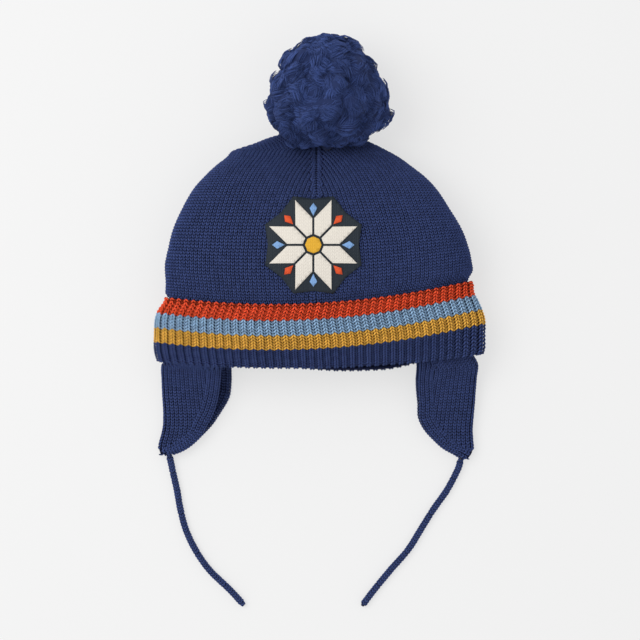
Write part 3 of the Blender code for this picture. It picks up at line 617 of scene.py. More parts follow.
class Planter:
    """Puts copies of a small mesh at places, through a Geometry Nodes tree."""

    def __init__(self) -> None:
        self.inputs: dict[str, str] = {}
        self.tree = self._tree()

    def _socket(self, tree: bpy.types.NodeTree, name: str, kind: str, value: object = None) -> None:
        """A named input of the tree, kept with its identifier."""
        made = tree.interface.new_socket(name=name, in_out="INPUT", socket_type=kind)
        if value is not None:
            made.default_value = value
        self.inputs[name] = made.identifier

    def _tree(self) -> bpy.types.NodeTree:
        """The tree: one instance at each point, turned and sized by the point's attributes."""
        tree = bpy.data.node_groups.new("planted pieces", "GeometryNodeTree")
        self._socket(tree, "Geometry", "NodeSocketGeometry")
        self._socket(tree, "Shapes", "NodeSocketCollection")
        self._socket(tree, "Turn Jitter", "NodeSocketFloat", 0.05)
        self._socket(tree, "Size Jitter", "NodeSocketFloat", 0.04)
        self._socket(tree, "Seed", "NodeSocketInt", 0)
        self._socket(tree, "Material", "NodeSocketMaterial")
        tree.interface.new_socket(name="Geometry", in_out="OUTPUT", socket_type="NodeSocketGeometry")
        wires = Wires(tree)
        source = wires.node("NodeGroupInput").outputs
        fields = []
        for name in ("outward", "along", "size"):
            kind = "GeometryNodeInputNamedAttribute"
            named = wires.node(kind, {"Name": name}, data_type="FLOAT_VECTOR")
            fields.append(named.outputs["Attribute"])
        outward, along, size = fields
        axes = wires.node(
            "FunctionNodeAxesToRotation",
            {"Primary Axis": outward, "Secondary Axis": along},
            primary_axis="Z",
            secondary_axis="Y",
        )
        most = source["Turn Jitter"]
        turns = {0: wires.maths("MULTIPLY", most, -1.0), 1: most, "Seed": source["Seed"]}
        turn = wires.node("FunctionNodeRandomValue", turns, data_type="FLOAT_VECTOR")
        euler = wires.node("FunctionNodeEulerToRotation", {0: turn.outputs[0]})
        both = {0: axes.outputs[0], 1: euler.outputs[0]}
        rotate = wires.node("FunctionNodeRotateRotation", both, rotation_space="LOCAL")
        small = wires.maths("SUBTRACT", 1.0, source["Size Jitter"])
        large = wires.maths("ADD", 1.0, source["Size Jitter"])
        grows = {2: small, 3: large, "Seed": source["Seed"]}
        grow = wires.node("FunctionNodeRandomValue", grows, data_type="FLOAT")
        scaled = {0: size, "Scale": grow.outputs[1]}
        scale = wires.node("ShaderNodeVectorMath", scaled, operation="SCALE")
        shapes = wires.node(
            "GeometryNodeCollectionInfo",
            {"Collection": source["Shapes"], "Separate Children": True, "Reset Children": True},
        )
        plant = wires.node(
            "GeometryNodeInstanceOnPoints",
            {
                "Points": source["Geometry"],
                "Instance": shapes.outputs["Instances"],
                "Pick Instance": True,
                "Rotation": rotate.outputs[0],
                "Scale": scale.outputs[0],
            },
        )
        real = wires.node("GeometryNodeRealizeInstances", {"Geometry": plant.outputs[0]})
        smooth = wires.node("GeometryNodeSetShadeSmooth", {"Geometry": real.outputs[0]})
        finish = {"Geometry": smooth.outputs[0], "Material": source["Material"]}
        dress = wires.node("GeometryNodeSetMaterial", finish)
        wires.node("NodeGroupOutput", {0: dress.outputs[0]})
        return tree

    def plant(
        self,
        name: str,
        places: Places,
        shapes: list[Mesh],
        material: Material,
        turn_jitter: float = 0.05,
        size_jitter: float = 0.04,
        seed: int = 1,
    ) -> Object:
        """One plain mesh object with a copy of a shape at each place.

        Args:
            name: The new object's name.
            places: Where the copies go.
            shapes: The meshes to copy, taken in turn.
            material: The finish of all of them.
            turn_jitter: The most that a copy turns from its place's directions, in radians.
            size_jitter: The most that a copy's size differs, as a share.
            seed: Seed of every random value.

        Returns:
            The finished object, at the origin.
        """
        bench = bpy.data.collections.new("shapes")
        for k, shape in enumerate(shapes):
            bench.objects.link(bpy.data.objects.new(f"shape_{k}", shape))
        carrier = bpy.data.objects.new("carrier", places.mesh(seed))
        bpy.context.scene.collection.objects.link(carrier)
        layer = carrier.modifiers.new("planted pieces", "NODES")
        layer.node_group = self.tree
        layer[self.inputs["Shapes"]] = bench
        layer[self.inputs["Turn Jitter"]] = turn_jitter
        layer[self.inputs["Size Jitter"]] = size_jitter
        layer[self.inputs["Seed"]] = seed
        layer[self.inputs["Material"]] = material
        graph = bpy.context.evaluated_depsgraph_get()
        mesh = bpy.data.meshes.new_from_object(carrier.evaluated_get(graph), depsgraph=graph)
        mesh.name = name
        for label in ("outward", "along", "size"):
            if label in mesh.attributes:
                mesh.attributes.remove(mesh.attributes[label])
        mesh.materials.clear()
        mesh.materials.append(material)
        mesh.polygons.foreach_set("material_index", np.zeros(len(mesh.polygons), np.int32))
        off_floor(mesh)
        bpy.data.objects.remove(carrier)
        for helper in list(bench.objects):
            bpy.data.objects.remove(helper)
        bpy.data.collections.remove(bench)
        return add_piece(name, mesh)


def add_piece(name: str, mesh: Mesh) -> Object:
    """Puts a finished mesh in the scene as a piece at the origin that rides on the hat."""
    piece = bpy.data.objects.new(name, mesh)
    bpy.context.scene.collection.objects.link(piece)
    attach(piece, BODY)
    mesh.calc_loop_triangles()
    LOG.info("%s: %d triangles", name, len(mesh.loop_triangles))
    return piece


def lofted(name: str, rings: list[Array], uv: list[Array], closed: bool = True) -> Mesh:
    """A mesh through rings of equal count, closed at its ends by a point in their middle.

    Args:
        name: The mesh's name.
        rings: The rings' points.
        uv: For each ring, its points' places in wales and courses, with one more at the
            end for the point where the ring closes.
        closed: Whether the two ends are closed.

    Returns:
        A smooth mesh whose faces point outwards.
    """
    count = len(rings[0])
    points = np.concatenate(rings)
    faces = []
    corners = []
    for row in range(len(rings) - 1):
        for k in range(count):
            after = (k + 1) % count
            low = row * count
            faces.append((low + k, low + after, low + count + after, low + count + k))
            corners += [uv[row][k], uv[row][k + 1], uv[row + 1][k + 1], uv[row + 1][k]]
    if closed:
        for row, ring in ((0, rings[0]), (len(rings) - 1, rings[-1])):
            middle = len(points)
            points = np.vstack([points, ring.mean(axis=0)])
            for k in range(count):
                after = (k + 1) % count
                faces.append((row * count + k, row * count + after, middle))
                corners += [uv[row][k], uv[row][k + 1], uv[row][k]]
    mesh = bpy.data.meshes.new(name)
    mesh.from_pydata(points.tolist(), [], faces)
    layer = mesh.uv_layers.new(name="knit")
    layer.data.foreach_set("uv", np.array(corners, np.float32).ravel())
    face_outwards(mesh)
    mesh.shade_smooth()
    return mesh


class Shape(Enum):
    """The small shapes that repeat over the hat."""

    STITCH = "stitch"
    RIB_STITCH = "rib stitch"
    PURL = "purl"


@dataclass(frozen=True)
class YarnShapes:
    """Small closed meshes of yarn, each in a box of one wale by one course.

    Attributes:
        sides: Sides of the yarn.
        rings: Share of the way along, and thickness there, of each ring of the yarn.
        seam: Share of the way round that the yarn UV leaves free on each side of its seam.
    """

    sides: int = 4
    seam: float = 0.01
    rings: tuple[tuple[float, float], ...] = ((0.16, 0.78), (0.5, 1.0), (0.84, 0.78))

    def strand(self, path: list[Spot], wide: float, thick: float) -> tuple[list, list, list]:
        """One strand of yarn with pointed ends.

        Args:
            path: Its start, middle and end.
            wide: Half its width across the surface.
            thick: Half its thickness out of the surface.

        Returns:
            Its points, its faces and a yarn UV for each face corner.
        """
        start, middle, end = (np.array(point) for point in path)
        points = [start]
        pull = 2 * middle - (start + end) / 2
        for share, size in self.rings:
            spot = (1 - share) ** 2 * start + share**2 * end
            spot = spot + 2 * share * (1 - share) * pull
            way = unit((1 - share) * (pull - start) + share * (end - pull))
            side = unit(np.cross(way, (0.0, 0.0, 1.0)))
            out = np.cross(side, way)
            for k in range(self.sides):
                turn = 2 * math.pi * k / self.sides
                points.append(spot + size * (side * wide * math.cos(turn) + out * thick * math.sin(turn)))
        points.append(end)
        faces = []
        uv = []
        last = len(points) - 1
        shares = [0.0, *(share for share, _ in self.rings), 1.0]
        for k in range(self.sides):
            after = (k + 1) % self.sides
            here = (1 - 2 * self.seam) * k / self.sides + self.seam
            there = (1 - 2 * self.seam) * (k + 1) / self.sides + self.seam
            faces.append((0, 1 + after, 1 + k))
            uv += [(here, 0.0), (there, shares[1]), (here, shares[1])]
            for row in range(len(self.rings) - 1):
                low = 1 + row * self.sides
                high = low + self.sides
                faces.append((low + k, low + after, high + after, high + k))
                a, b = shares[row + 1], shares[row + 2]
                uv += [(here, a), (there, a), (there, b), (here, b)]
            low = 1 + (len(self.rings) - 1) * self.sides
            faces.append((low + k, low + after, last))
            uv += [(here, shares[-2]), (there, shares[-2]), (here, 1.0)]
        return points, faces, uv

    def mesh(self, name: str, strands: list[tuple[list, float, float]]) -> Mesh:
        """Several strands as one closed mesh with a "yarn" UV map."""
        points: list = []
        faces: list = []
        corners: list = []
        for number, (path, wide, thick) in enumerate(strands):
            more, around, uv = self.strand(path, wide, thick)
            faces += [tuple(len(points) + k for k in face) for face in around]
            points += [tuple(point) for point in more]
            corners += [(u + number, v) for u, v in uv]
        mesh = bpy.data.meshes.new(name)
        mesh.from_pydata(points, [], faces)
        layer = mesh.uv_layers.new(name="yarn")
        layer.data.foreach_set("uv", np.array(corners, np.float32).ravel())
        face_outwards(mesh)
        return mesh

    def make(self, shape: Shape) -> Mesh:
        """One of the small shapes."""
        if shape is Shape.STITCH:
            legs = [
                [(side * 0.05, -0.52, -0.50), (side * 0.22, 0.03, 0.22), (side * 0.39, 0.66, -0.50)]
                for side in (-1, 1)
            ]
            return self.mesh("stitch", [(leg, 0.215, 0.46) for leg in legs])
        if shape is Shape.RIB_STITCH:
            legs = [
                [(side * 0.07, 0.58, -0.55), (side * 0.24, 0.03, 0.22), (side * 0.42, -0.62, -0.60)]
                for side in (-1, 1)
            ]
            return self.mesh("rib stitch", [(leg, 0.20, 0.46) for leg in legs])
        hanging = [(-0.56, 0.42, 0.15), (0.0, -0.34, -0.05), (0.56, 0.42, 0.15)]
        standing = [(-0.40, -0.30, -0.50), (0.0, 0.36, -0.20), (0.40, -0.30, -0.50)]
        return self.mesh("purl", [(hanging, 0.22, 0.36), (standing, 0.20, 0.30)])


@dataclass(frozen=True)
class Gauge:
    """The knitting's pitch and yarn.

    Attributes:
        wale: Width of one stitch.
        course: Height of one stitch.
        yarn: Thickness of the yarn out of the surface.
        sink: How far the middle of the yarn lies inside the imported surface.
        ground: How far the plain ground under the stitches lies inside it.
    """

    wale: float = 0.00286
    course: float = 0.00205
    yarn: float = 0.00115
    sink: float = 0.00055
    ground: float = 0.00125


@dataclass(frozen=True)
class CrownForm:
    """The crown's form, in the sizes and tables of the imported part.

    Attributes:
        shift: Where the part's own middle lies in the shared frame.
        side_fold: Height of the side folds, as a share of the way up.
        top_roundness: Power of the section's curve above the side folds.
        back_roundness: Power of its curve below them.
        back_flatness: How far that curve is pressed flat by the ground.
        back_rim_drop: How far the back rim hangs below the front's.
        back_rim_fade: Height share at which that ends.
        cuff_out: How far the cuff stands out from the crown.
        apex_left: How far left of the middle the crown is drawn together.
        apex_height: Height of that place, as a share of the depth.
        steps: Points of a section before it is cut into even steps.
        settling: Tries that find the course under a place on the front.
    """

    shift: tuple[float, float]
    half_width: float = 0.106
    height: float = 0.1505
    depth: float = 0.060
    wall: float = 0.0026
    rim_y: float = -0.0725
    side_fold: float = 0.42
    top_roundness: float = 2.2
    back_roundness: float = 3.2
    back_flatness: float = 0.0015
    gather_folds: int = 8
    gather_depth: float = 0.0011
    back_rim_drop: float = 0.0036
    back_rim_fade: float = 0.30
    cuff_out: float = 0.0038
    apex_left: float = 0.002
    apex_height: float = 0.17
    steps: int = 1440
    settling: int = 6

    def drawn_up(self, share: float | Array, across: Array) -> Array:
        """How far a course lies from level, at places from -1 to 1 across."""
        tilt = column(CROWN_SECTIONS, 3, share) * self.half_width
        sag = column(CROWN_SECTIONS, 4, share) * self.half_width
        return tilt * across + sag * (across * across - 1)

    def section(self, share: Array) -> tuple[Array, ...]:
        """Left, right, underside, side fold and top of the section at a height share."""
        tilt = column(CROWN_SECTIONS, 3, share) * self.half_width / self.height
        left = -self.half_width * column(CROWN_OUTLINE, 1, share - tilt)
        right = self.half_width * column(CROWN_OUTLINE, 2, share + tilt)
        under = self.cuff_out * np.maximum(column(CROWN_SECTIONS, 2, share), 0.0)
        top = self.depth * column(CROWN_SECTIONS, 1, share)
        return left, right, under, under + self.side_fold * (top - under), top

    def dents(self, x: Array, y: Array) -> Array:
        """How deep the front's soft dents are at places in the part's own measure."""
        depth = np.zeros_like(x)
        for across, up, length, width, turn, deepest in FRONT_DENTS:
            angle = math.radians(turn)
            dx = x / self.half_width - across
            dy = y / self.half_width - up
            along = dx * math.cos(angle) + dy * math.sin(angle)
            aside = dy * math.cos(angle) - dx * math.sin(angle)
            depth += deepest * np.exp(-((along / length) ** 2) - (aside / width) ** 2)
        return depth

    def loop(self, share: float, columns: int, offset: float = 0.0, drop: float = 0.0) -> Array:
        """One loop round the crown at even steps, from the middle of its underside.

        Args:
            share: Height above the rim as a share of the crown's height.
            columns: How many points it has.
            offset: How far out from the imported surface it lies.
            drop: How far it is moved down.

        Returns:
            Its points, anticlockwise as seen from the ties.
        """
        left, right, under, fold, top = (float(value) for value in self.section(np.float64(share)))
        middle = (left + right) / 2
        half = (right - left) / 2
        turn = np.linspace(0, 2 * math.pi, self.steps + 1) - math.pi / 2
        across = np.cos(turn)
        up = np.sin(turn)
        power = np.where(up >= 0, 2 / self.top_roundness, 2 / self.back_roundness)
        x = middle + half * np.sign(across) * np.abs(across) ** power
        high = fold + (top - fold) * np.abs(up) ** power
        low = fold - (fold - under + self.back_flatness) * np.abs(up) ** power
        z = np.where(up >= 0, high, np.maximum(low, under))
        gone = np.concatenate([[0.0], np.cumsum(np.hypot(np.diff(x), np.diff(z)))])
        want = gone[-1] * np.arange(columns) / columns
        x = np.interp(want, gone, x)
        z = np.interp(want, gone, z)
        run_x = np.roll(x, -1) - np.roll(x, 1)
        run_z = np.roll(z, -1) - np.roll(z, 1)
        length = np.hypot(run_x, run_z)
        y = self.rim_y + share * self.height + self.drawn_up(share, (x - middle) / half)
        rise = np.clip((z - fold) / (top - fold), 0.0, 1.0)
        fall = np.clip((fold - z) / max(fold - under, 1e-6), 0.0, 1.0)
        gather = float(column(CROWN_SECTIONS, 5, share)) * self.gather_depth
        folds = 1 + np.cos(2 * math.pi * self.gather_folds * np.arange(columns) / columns)
        out = offset - self.dents(x, y) * rise - gather * rise * folds
        hang = self.back_rim_drop * max(1 - share / self.back_rim_fade, 0.0)
        y = y - hang * fall * column(BACK_RIM, 1, x / self.half_width) - drop
        points = np.stack([x + run_z / length * out, y, z - run_x / length * out], axis=1)
        return points + (*self.shift, 0.0)

    def apex(self) -> Array:
        """Where the crown is drawn together."""
        y = self.rim_y + self.height
        return np.array([self.shift[0] - self.apex_left, self.shift[1] + y, self.depth * self.apex_height])

    def front(self, x: Array, y: Array) -> Array:
        """The front's points at places seen from above, in the shared frame."""
        own_x = x - self.shift[0]
        own_y = y - self.shift[1]
        share = (own_y - self.rim_y) / self.height
        for _ in range(self.settling):
            left, right, _, fold, top = self.section(share)
            across = np.clip((2 * own_x - left - right) / (right - left), -1.0, 1.0)
            share = (own_y - self.rim_y - self.drawn_up(share, across)) / self.height
        reach = (1 - np.abs(across) ** self.top_roundness) ** (1 / self.top_roundness)
        z = fold + (top - fold) * reach - self.dents(own_x, own_y)
        return np.stack([x, y, z], axis=-1)


def grid_outward(grid: Array) -> Array:
    """Directions out of a surface given as rows of closed loops, (rows, columns, 3)."""
    up = np.gradient(grid, axis=0)
    round_it = np.roll(grid, -1, axis=1) - np.roll(grid, 1, axis=1)
    return unit(np.cross(up, round_it))


@dataclass
class Crown:
    """The stockinette cap: its knitted wall, and stitches over its front and its back.

    Attributes:
        first_share: Height share of the lowest course, just under the cuff's top edge.
        last_share: Height share of the highest loop of the wall.
        wall_shares: First and last height share and count of each run of the wall's loops.
        lining_top: Height share where the lining ends.
        least_wales: Width in wales where a part of the cap is too narrow to go on.
        decrease_edge: How near to a line of decreases a stitch may lie, in wales.
        widen_edge: How near it has to be to widen and meet that line, in wales.
        most_lean: Least share of its width that a stitch keeps where its wale leans.
        front_place: Share round the loop where the front's courses are measured.
        back_sink: How much deeper the flattened back's yarn lies, as a share of its thickness.
        ridge_pull: How much a loop's height counts when its top is looked for.
    """

    form: CrownForm
    gauge: Gauge
    first_share: float = 0.262
    last_share: float = 0.988
    columns: int = 720
    fine_rows: int = 240
    wall_columns: int = 180
    wall_shares: tuple[tuple[float, float, int], ...] = ((0.0, 0.9, 28), (0.915, 0.993, 8))
    lining_top: float = 0.955
    least_wales: float = 2.5
    decrease_edge: float = 0.30
    widen_edge: float = 1.4
    most_lean: float = 0.2
    front_place: float = 0.37
    back_place: float = 0.12
    back_sink: float = 1 / 3
    ridge_pull: float = 2.0

    def shell(self, material: Material) -> Object:
        """The wall under the stitches: its outside to the gather, and its lining back down."""
        count = self.wall_columns
        shares = [share for run in self.wall_shares for share in np.linspace(*run)]
        lined = [share for share in shares if share <= self.lining_top]
        outer = [self.form.loop(share, count, -self.gauge.ground) for share in shares]
        inner = [self.form.loop(share, count, -self.form.wall) for share in lined]
        rings = outer[::-1] + inner
        rows = shares[::-1] + lined
        uv = []
        for ring, share in zip(rings, rows):
            steps = np.linalg.norm(np.roll(ring, -1, axis=0) - ring, axis=1)
            across = np.concatenate([[0.0], np.cumsum(steps)]) / self.gauge.wale
            up = np.full(count + 1, share * self.form.height / self.gauge.course)
            uv.append(np.stack([across, up], axis=1))
        mesh = lofted("crown_wall", rings, uv)
        mesh.materials.append(material)
        wall = add_piece("crown_wall", mesh)
        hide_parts("crown")
        return wall

    def course_shares(self, place: float) -> list[float]:
        """Height shares of the courses, evenly up the wall at a share round the loop."""
        fine = np.linspace(self.first_share, self.last_share, self.fine_rows)
        spots = np.array([self.form.loop(s, self.columns)[int(place * self.columns)] for s in fine])
        gone = arc_lengths(spots)
        return list(np.interp(np.arange(0, gone[-1], self.gauge.course), gone, fine))

    def gore(
        self,
        grid: Array,
        outward: Array,
        starts: list[int],
        ends: list[int],
        sink: float,
    ) -> Places:
        """Stitches over one of the cap's four parts, between two lines of decreases.

        Args:
            grid: The surface's rows of points.
            outward: The directions out of it.
            starts: In each row, the column where the part starts.
            ends: In each row, the column where the part ends.
            sink: How far inside the surface the yarn's middle lies.

        Returns:
            The stitches' places.
        """
        rows, count, _ = grid.shape
        widths = []
        for row, (a, b) in enumerate(zip(starts, ends)):
            index = np.arange(min(a, b), max(a, b) + 1) % count
            widths.append(arc_lengths(grid[row, index])[-1])
        width = np.array(widths)
        widest = np.maximum.accumulate(width[::-1])[::-1]
        pitch = self.gauge.wale * width / widest
        wales = int(round(widest[0] / self.gauge.wale))
        offsets = np.arange(wales) - (wales - 1) / 2

        def spots(row: int, at: Array) -> tuple[Array, Array]:
            """Spots at distances from the part's middle, and the directions out there."""
            share = np.clip(0.5 + at / width[row], 0.0, 1.0)
            index = starts[row] + share * (ends[row] - starts[row])
            line = np.vstack([grid[row], grid[row][:1], grid[row][1:2]])
            out = np.vstack([outward[row], outward[row][:1], outward[row][1:2]])
            index = np.mod(index, count)
            return sample(line, index), unit(sample(out, index))

        places = Places()
        for row in range(1, rows - 1):
            if width[row] < self.least_wales * self.gauge.wale:
                break
            room = width[row] / 2 - np.abs(offsets) * pitch[row]
            keep = room >= self.decrease_edge * pitch[row]
            at = offsets[keep] * pitch[row]
            near = room[keep] < self.widen_edge * pitch[row]
            gap = np.where(near, room[keep] - pitch[row] / 2, 0.0)
            here, out = spots(row, at + np.sign(at) * gap / 2)
            above, _ = spots(row + 1, offsets[keep] * pitch[row + 1])
            below, _ = spots(row - 1, offsets[keep] * pitch[row - 1])
            along = above - below
            beside, _ = spots(row, at + pitch[row] * 0.25)
            other, _ = spots(row, at - pitch[row] * 0.25)
            across = unit(beside - other)
            lean = np.sum(unit(along) * across, axis=1)
            narrow = np.sqrt(np.maximum(1 - lean**2, self.most_lean))
            long = np.linalg.norm(along, axis=1) / 2
            size = sizes_of((pitch[row] + gap) * narrow, long, self.gauge.yarn)
            places.add(here - out * sink, out, along, size)
        return places

    def stitches(self, front: bool) -> Places:
        """The stitches' places over the front or the back."""
        shares = self.course_shares(self.front_place if front else self.back_place)
        grid = np.array([self.form.loop(s, self.columns) for s in shares])
        outward = grid_outward(grid)
        half = self.columns // 2
        folds_right = [int(np.argmax(row[:, 0])) for row in grid]
        folds_left = [int(np.argmin(row[:, 0])) for row in grid]
        middle_x = self.form.shift[0] - self.form.apex_left
        tops = []
        for row in grid:
            span = np.arange(half // 2, half + half // 2)
            off_top = np.abs(row[span, 0] - middle_x) - row[span, 2] * self.ridge_pull
            tops.append(int(span[np.argmin(off_top)]))
        sink = self.gauge.sink
        if front:
            right = self.gore(grid, outward, folds_right, tops, sink)
            left = self.gore(grid, outward, folds_left, tops, sink)
        else:
            sink += self.gauge.yarn * self.back_sink
            zeros = [0] * len(grid)
            full = [self.columns] * len(grid)
            right = self.gore(grid, outward, zeros, folds_right, sink)
            left = self.gore(grid, outward, full, folds_left, sink)
        together = Places()
        for side in (right, left):
            for part in zip(side.spots, side.outward, side.along, side.size):
                together.add(*part)
        return together

    def dress(self, planter: Planter, yarn: Material, ground: Material) -> None:
        """Builds the wall and knits its outside."""
        self.shell(ground)
        for name, front, sides, seed in (
            ("crown_front_stitches", True, 4, 11),
            ("crown_back_stitches", False, 3, 12),
        ):
            shape = YarnShapes(sides).make(Shape.STITCH)
            piece = planter.plant(name, self.stitches(front), [shape], yarn, seed=seed)
            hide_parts("crown")


@dataclass
class Cuff:
    """The turned-up rib: a ground, knit ridges, and purl loops in its valleys.

    Attributes:
        band: Height of the band, before its fold's wall and the gap under it.
        ridge_share: Share of a rib's width that its knit ridge takes.
        rib_cover: Width of a ridge and a valley together, as a share of the rib's.
        ridge_sink: How far the ridges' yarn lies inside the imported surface.
        valley_sink: How far the valleys' yarn lies inside it.
        valley_delay: How far down a valley's loops lie from its ridges', in courses.
        edge_sink: How much deeper the top course's yarn lies.
        ground_sink: How far the ground under the stitches lies inside it.
        courses: Courses in each stripe, from the cuff's top edge down.
    """

    form: CrownForm
    gauge: Gauge
    band: float = 0.0461
    ribs: int = 84
    course: float = 0.00193
    ridge_share: float = 0.66
    rib_cover: float = 1.08
    ridge_sink: float = 0.00030
    valley_sink: float = 0.00120
    valley_delay: float = 0.45
    edge_sink: float = 0.0007
    ground_sink: float = 0.00175
    fullness: float = 1.25
    columns: int = 1008
    wall_columns: int = 336
    wall_rows: int = 8
    courses: tuple[tuple[str, int], ...] = (("orange", 5), ("blue", 5), ("mustard", 5), ("navy", 10))

    @property
    def top_share(self) -> float:
        """Height share of the band's top edge."""
        return (self.band - CUFF_FOLD_WALL - GAP) / self.form.height

    def turn_profile(self) -> Array:
        """Down the cuff's outside: height share, offset out and drop at each place."""
        outer = self.form.cuff_out
        fold = CUFF_FOLD_WALL + GAP
        rows = [(share, outer, 0.0) for share in np.linspace(self.top_share, 0.0, 7)]
        rows += [(0.0, outer * out, fold * down) for out, down in CUFF_FOLD_TURN[1:]]
        return np.array(rows)

    def row(self, down: float) -> Array:
        """A loop round the cuff's outside, a distance down from its top edge."""
        profile = self.turn_profile()
        level = profile[:, 0] * self.form.height - profile[:, 2]
        gone = arc_lengths(np.stack([level, profile[:, 1]], axis=1))
        share, offset, drop = (float(np.interp(down, gone, profile[:, k])) for k in range(3))
        return self.form.loop(share, self.columns, offset, drop)

    def shell(self, material: Material) -> Object:
        """The band under the stitches, open in the middle like a tube's wall."""
        # The loops go up the outside, over the edge, down the inside and round the fold
        count = self.wall_columns
        rings = []
        heights = []
        outer = self.form.cuff_out - self.ground_sink
        fold = CUFF_FOLD_WALL + GAP
        bottom = fold - 0.0008
        top = self.top_share
        steps = self.wall_rows

        def put(share: float, offset: float, drop: float) -> None:
            """Adds one loop of the ground, with its height in courses."""
            rings.append(self.form.loop(share, count, offset, drop))
            heights.append(((top - share) * self.form.height + drop) / self.course)

        for k in range(steps + 1):
            put(top * k / steps * 0.985, outer, 0.0)
        put(top - 0.002, (outer + GAP) / 2, 0.0)
        for k in range(steps, -1, -1):
            put(top * k / steps * 0.98, GAP, 0.0)
        put(0.0, GAP, GAP)
        put(0.0, -self.form.wall, GAP + CUFF_FOLD_WALL * 0.3)
        put(0.0, outer * 0.15, bottom)
        put(0.0, outer * 0.9, bottom * 0.7)
        rings.append(rings[0])
        heights.append(heights[0])
        uv = []
        for ring, height in zip(rings, heights):
            across = np.arange(count + 1) * 2 * self.ribs / count
            uv.append(np.stack([across, np.full(count + 1, height)], axis=1))
        mesh = lofted("cuff_wall", rings, uv, closed=False)
        face_outwards(mesh, MERGE)
        mesh.materials.append(material)
        wall = add_piece("cuff_wall", mesh)
        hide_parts("cuff")
        return wall

    def stitches(self, first: int, last: int) -> tuple[Places, Places]:
        """Places of the ridges' stitches and the valleys' loops in some of the courses."""
        rib = self.columns // self.ribs
        ridges = Places()
        valleys = Places()
        for places, start, share, sink, late in (
            (ridges, 0, self.ridge_share, self.ridge_sink, 0.5),
            (valleys, rib // 2, self.rib_cover - self.ridge_share, self.valley_sink, 0.5 + self.valley_delay),
        ):
            grid = np.array([self.row((r + late) * self.course) for r in range(first - 1, last + 1)])
            outward = -grid_outward(grid)
            for k in range(1, len(grid) - 1):
                line = grid[k]
                along = grid[k - 1] - grid[k + 1]
                lengths = np.linalg.norm(np.roll(line, -1, axis=0) - line, axis=1) * rib
                at = np.arange(start, self.columns, rib)
                out = outward[k][at]
                deep = sink + (self.edge_sink if first + k == 1 else 0.0)
                long = np.linalg.norm(along[at], axis=1) / 2
                size = sizes_of(lengths[at] * share, long, self.gauge.yarn * self.fullness)
                places.add(line[at] - out * deep, out, along[at], size)
        return ridges, valleys

    def dress(
        self,
        planter: Planter,
        shapes: YarnShapes,
        yarns: dict[str, Material],
        ground: Material,
    ) -> None:
        """Builds the band and knits each of its stripes."""
        self.shell(ground)
        first = 0
        ridge = shapes.make(Shape.RIB_STITCH)
        loop = shapes.make(Shape.PURL)
        for seed, (colour, count) in enumerate(self.courses):
            ridges, valleys = self.stitches(first, first + count)
            for kind, places, shape in (("ridges", ridges, ridge), ("valleys", valleys, loop)):
                name = f"cuff_{colour}_{kind}"
                piece = planter.plant(name, places, [shape], yarns[colour], 0.06, 0.05, 20 + seed)
                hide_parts("cuff")
            first += count


def through(rows: Array, places: Array) -> Array:
    """Points on the smooth curves through rows of points, at places counted in rows.

    Args:
        rows: The rows, first axis along the curves.
        places: Where to read them, from 0 to one less than the number of rows.

    Returns:
        One row for each place.
    """
    ends = np.concatenate([2 * rows[:1] - rows[1:2], rows, 2 * rows[-1:] - rows[-2:-1]])
    low = np.clip(np.floor(places).astype(int), 0, len(rows) - 2)
    t = (places - low).reshape(-1, *([1] * (rows.ndim - 1)))
    before, a, b, after = (ends[low + k] for k in range(4))
    bend = (b - before) * t + (2 * before - 5 * a + 4 * b - after) * t**2
    return a + 0.5 * (bend + (3 * a - before - 3 * b + after) * t**3)


def off_floor(mesh: Mesh, near: float = 0.0012) -> None:
    """Presses what would reach under the floor flat against it."""
    spots = np.empty(len(mesh.vertices) * 3, np.float32)
    mesh.vertices.foreach_get("co", spots)
    z = spots[2::3]
    low = z < near
    z[low] = near * np.exp((z[low] - near) / near)
    mesh.vertices.foreach_set("co", spots)
    mesh.update()


def closed_sheet(
    name: str,
    top: Array,
    bottom: Array,
    faces: list[tuple[int, ...]],
    rim: list[tuple[int, int]],
    flat: Array,
) -> Mesh:
    """A sheet's two faces and its edge as one closed mesh with a "knit" UV map.

    Args:
        name: The mesh's name.
        top: The outer face's points.
        bottom: The inner face's points, in the same order.
        faces: The outer face's polygons, anticlockwise as seen from outside.
        rim: Its edges, each with the sheet on its left.
        flat: Each point's place in wales and courses.

    Returns:
        A smooth mesh.
    """
    under = len(top)
    every = faces + [tuple(under + k for k in face[::-1]) for face in faces]
    every += [(b, a, a + under, b + under) for a, b in rim]
    mesh = bpy.data.meshes.new(name)
    mesh.from_pydata(np.concatenate([top, bottom]).tolist(), [], every)
    layer = mesh.uv_layers.new(name="knit")
    corners = np.concatenate([flat, flat])[np.concatenate([np.array(face) for face in every])]
    layer.data.foreach_set("uv", corners.astype(np.float32).ravel())
    mesh.shade_smooth()
    return mesh


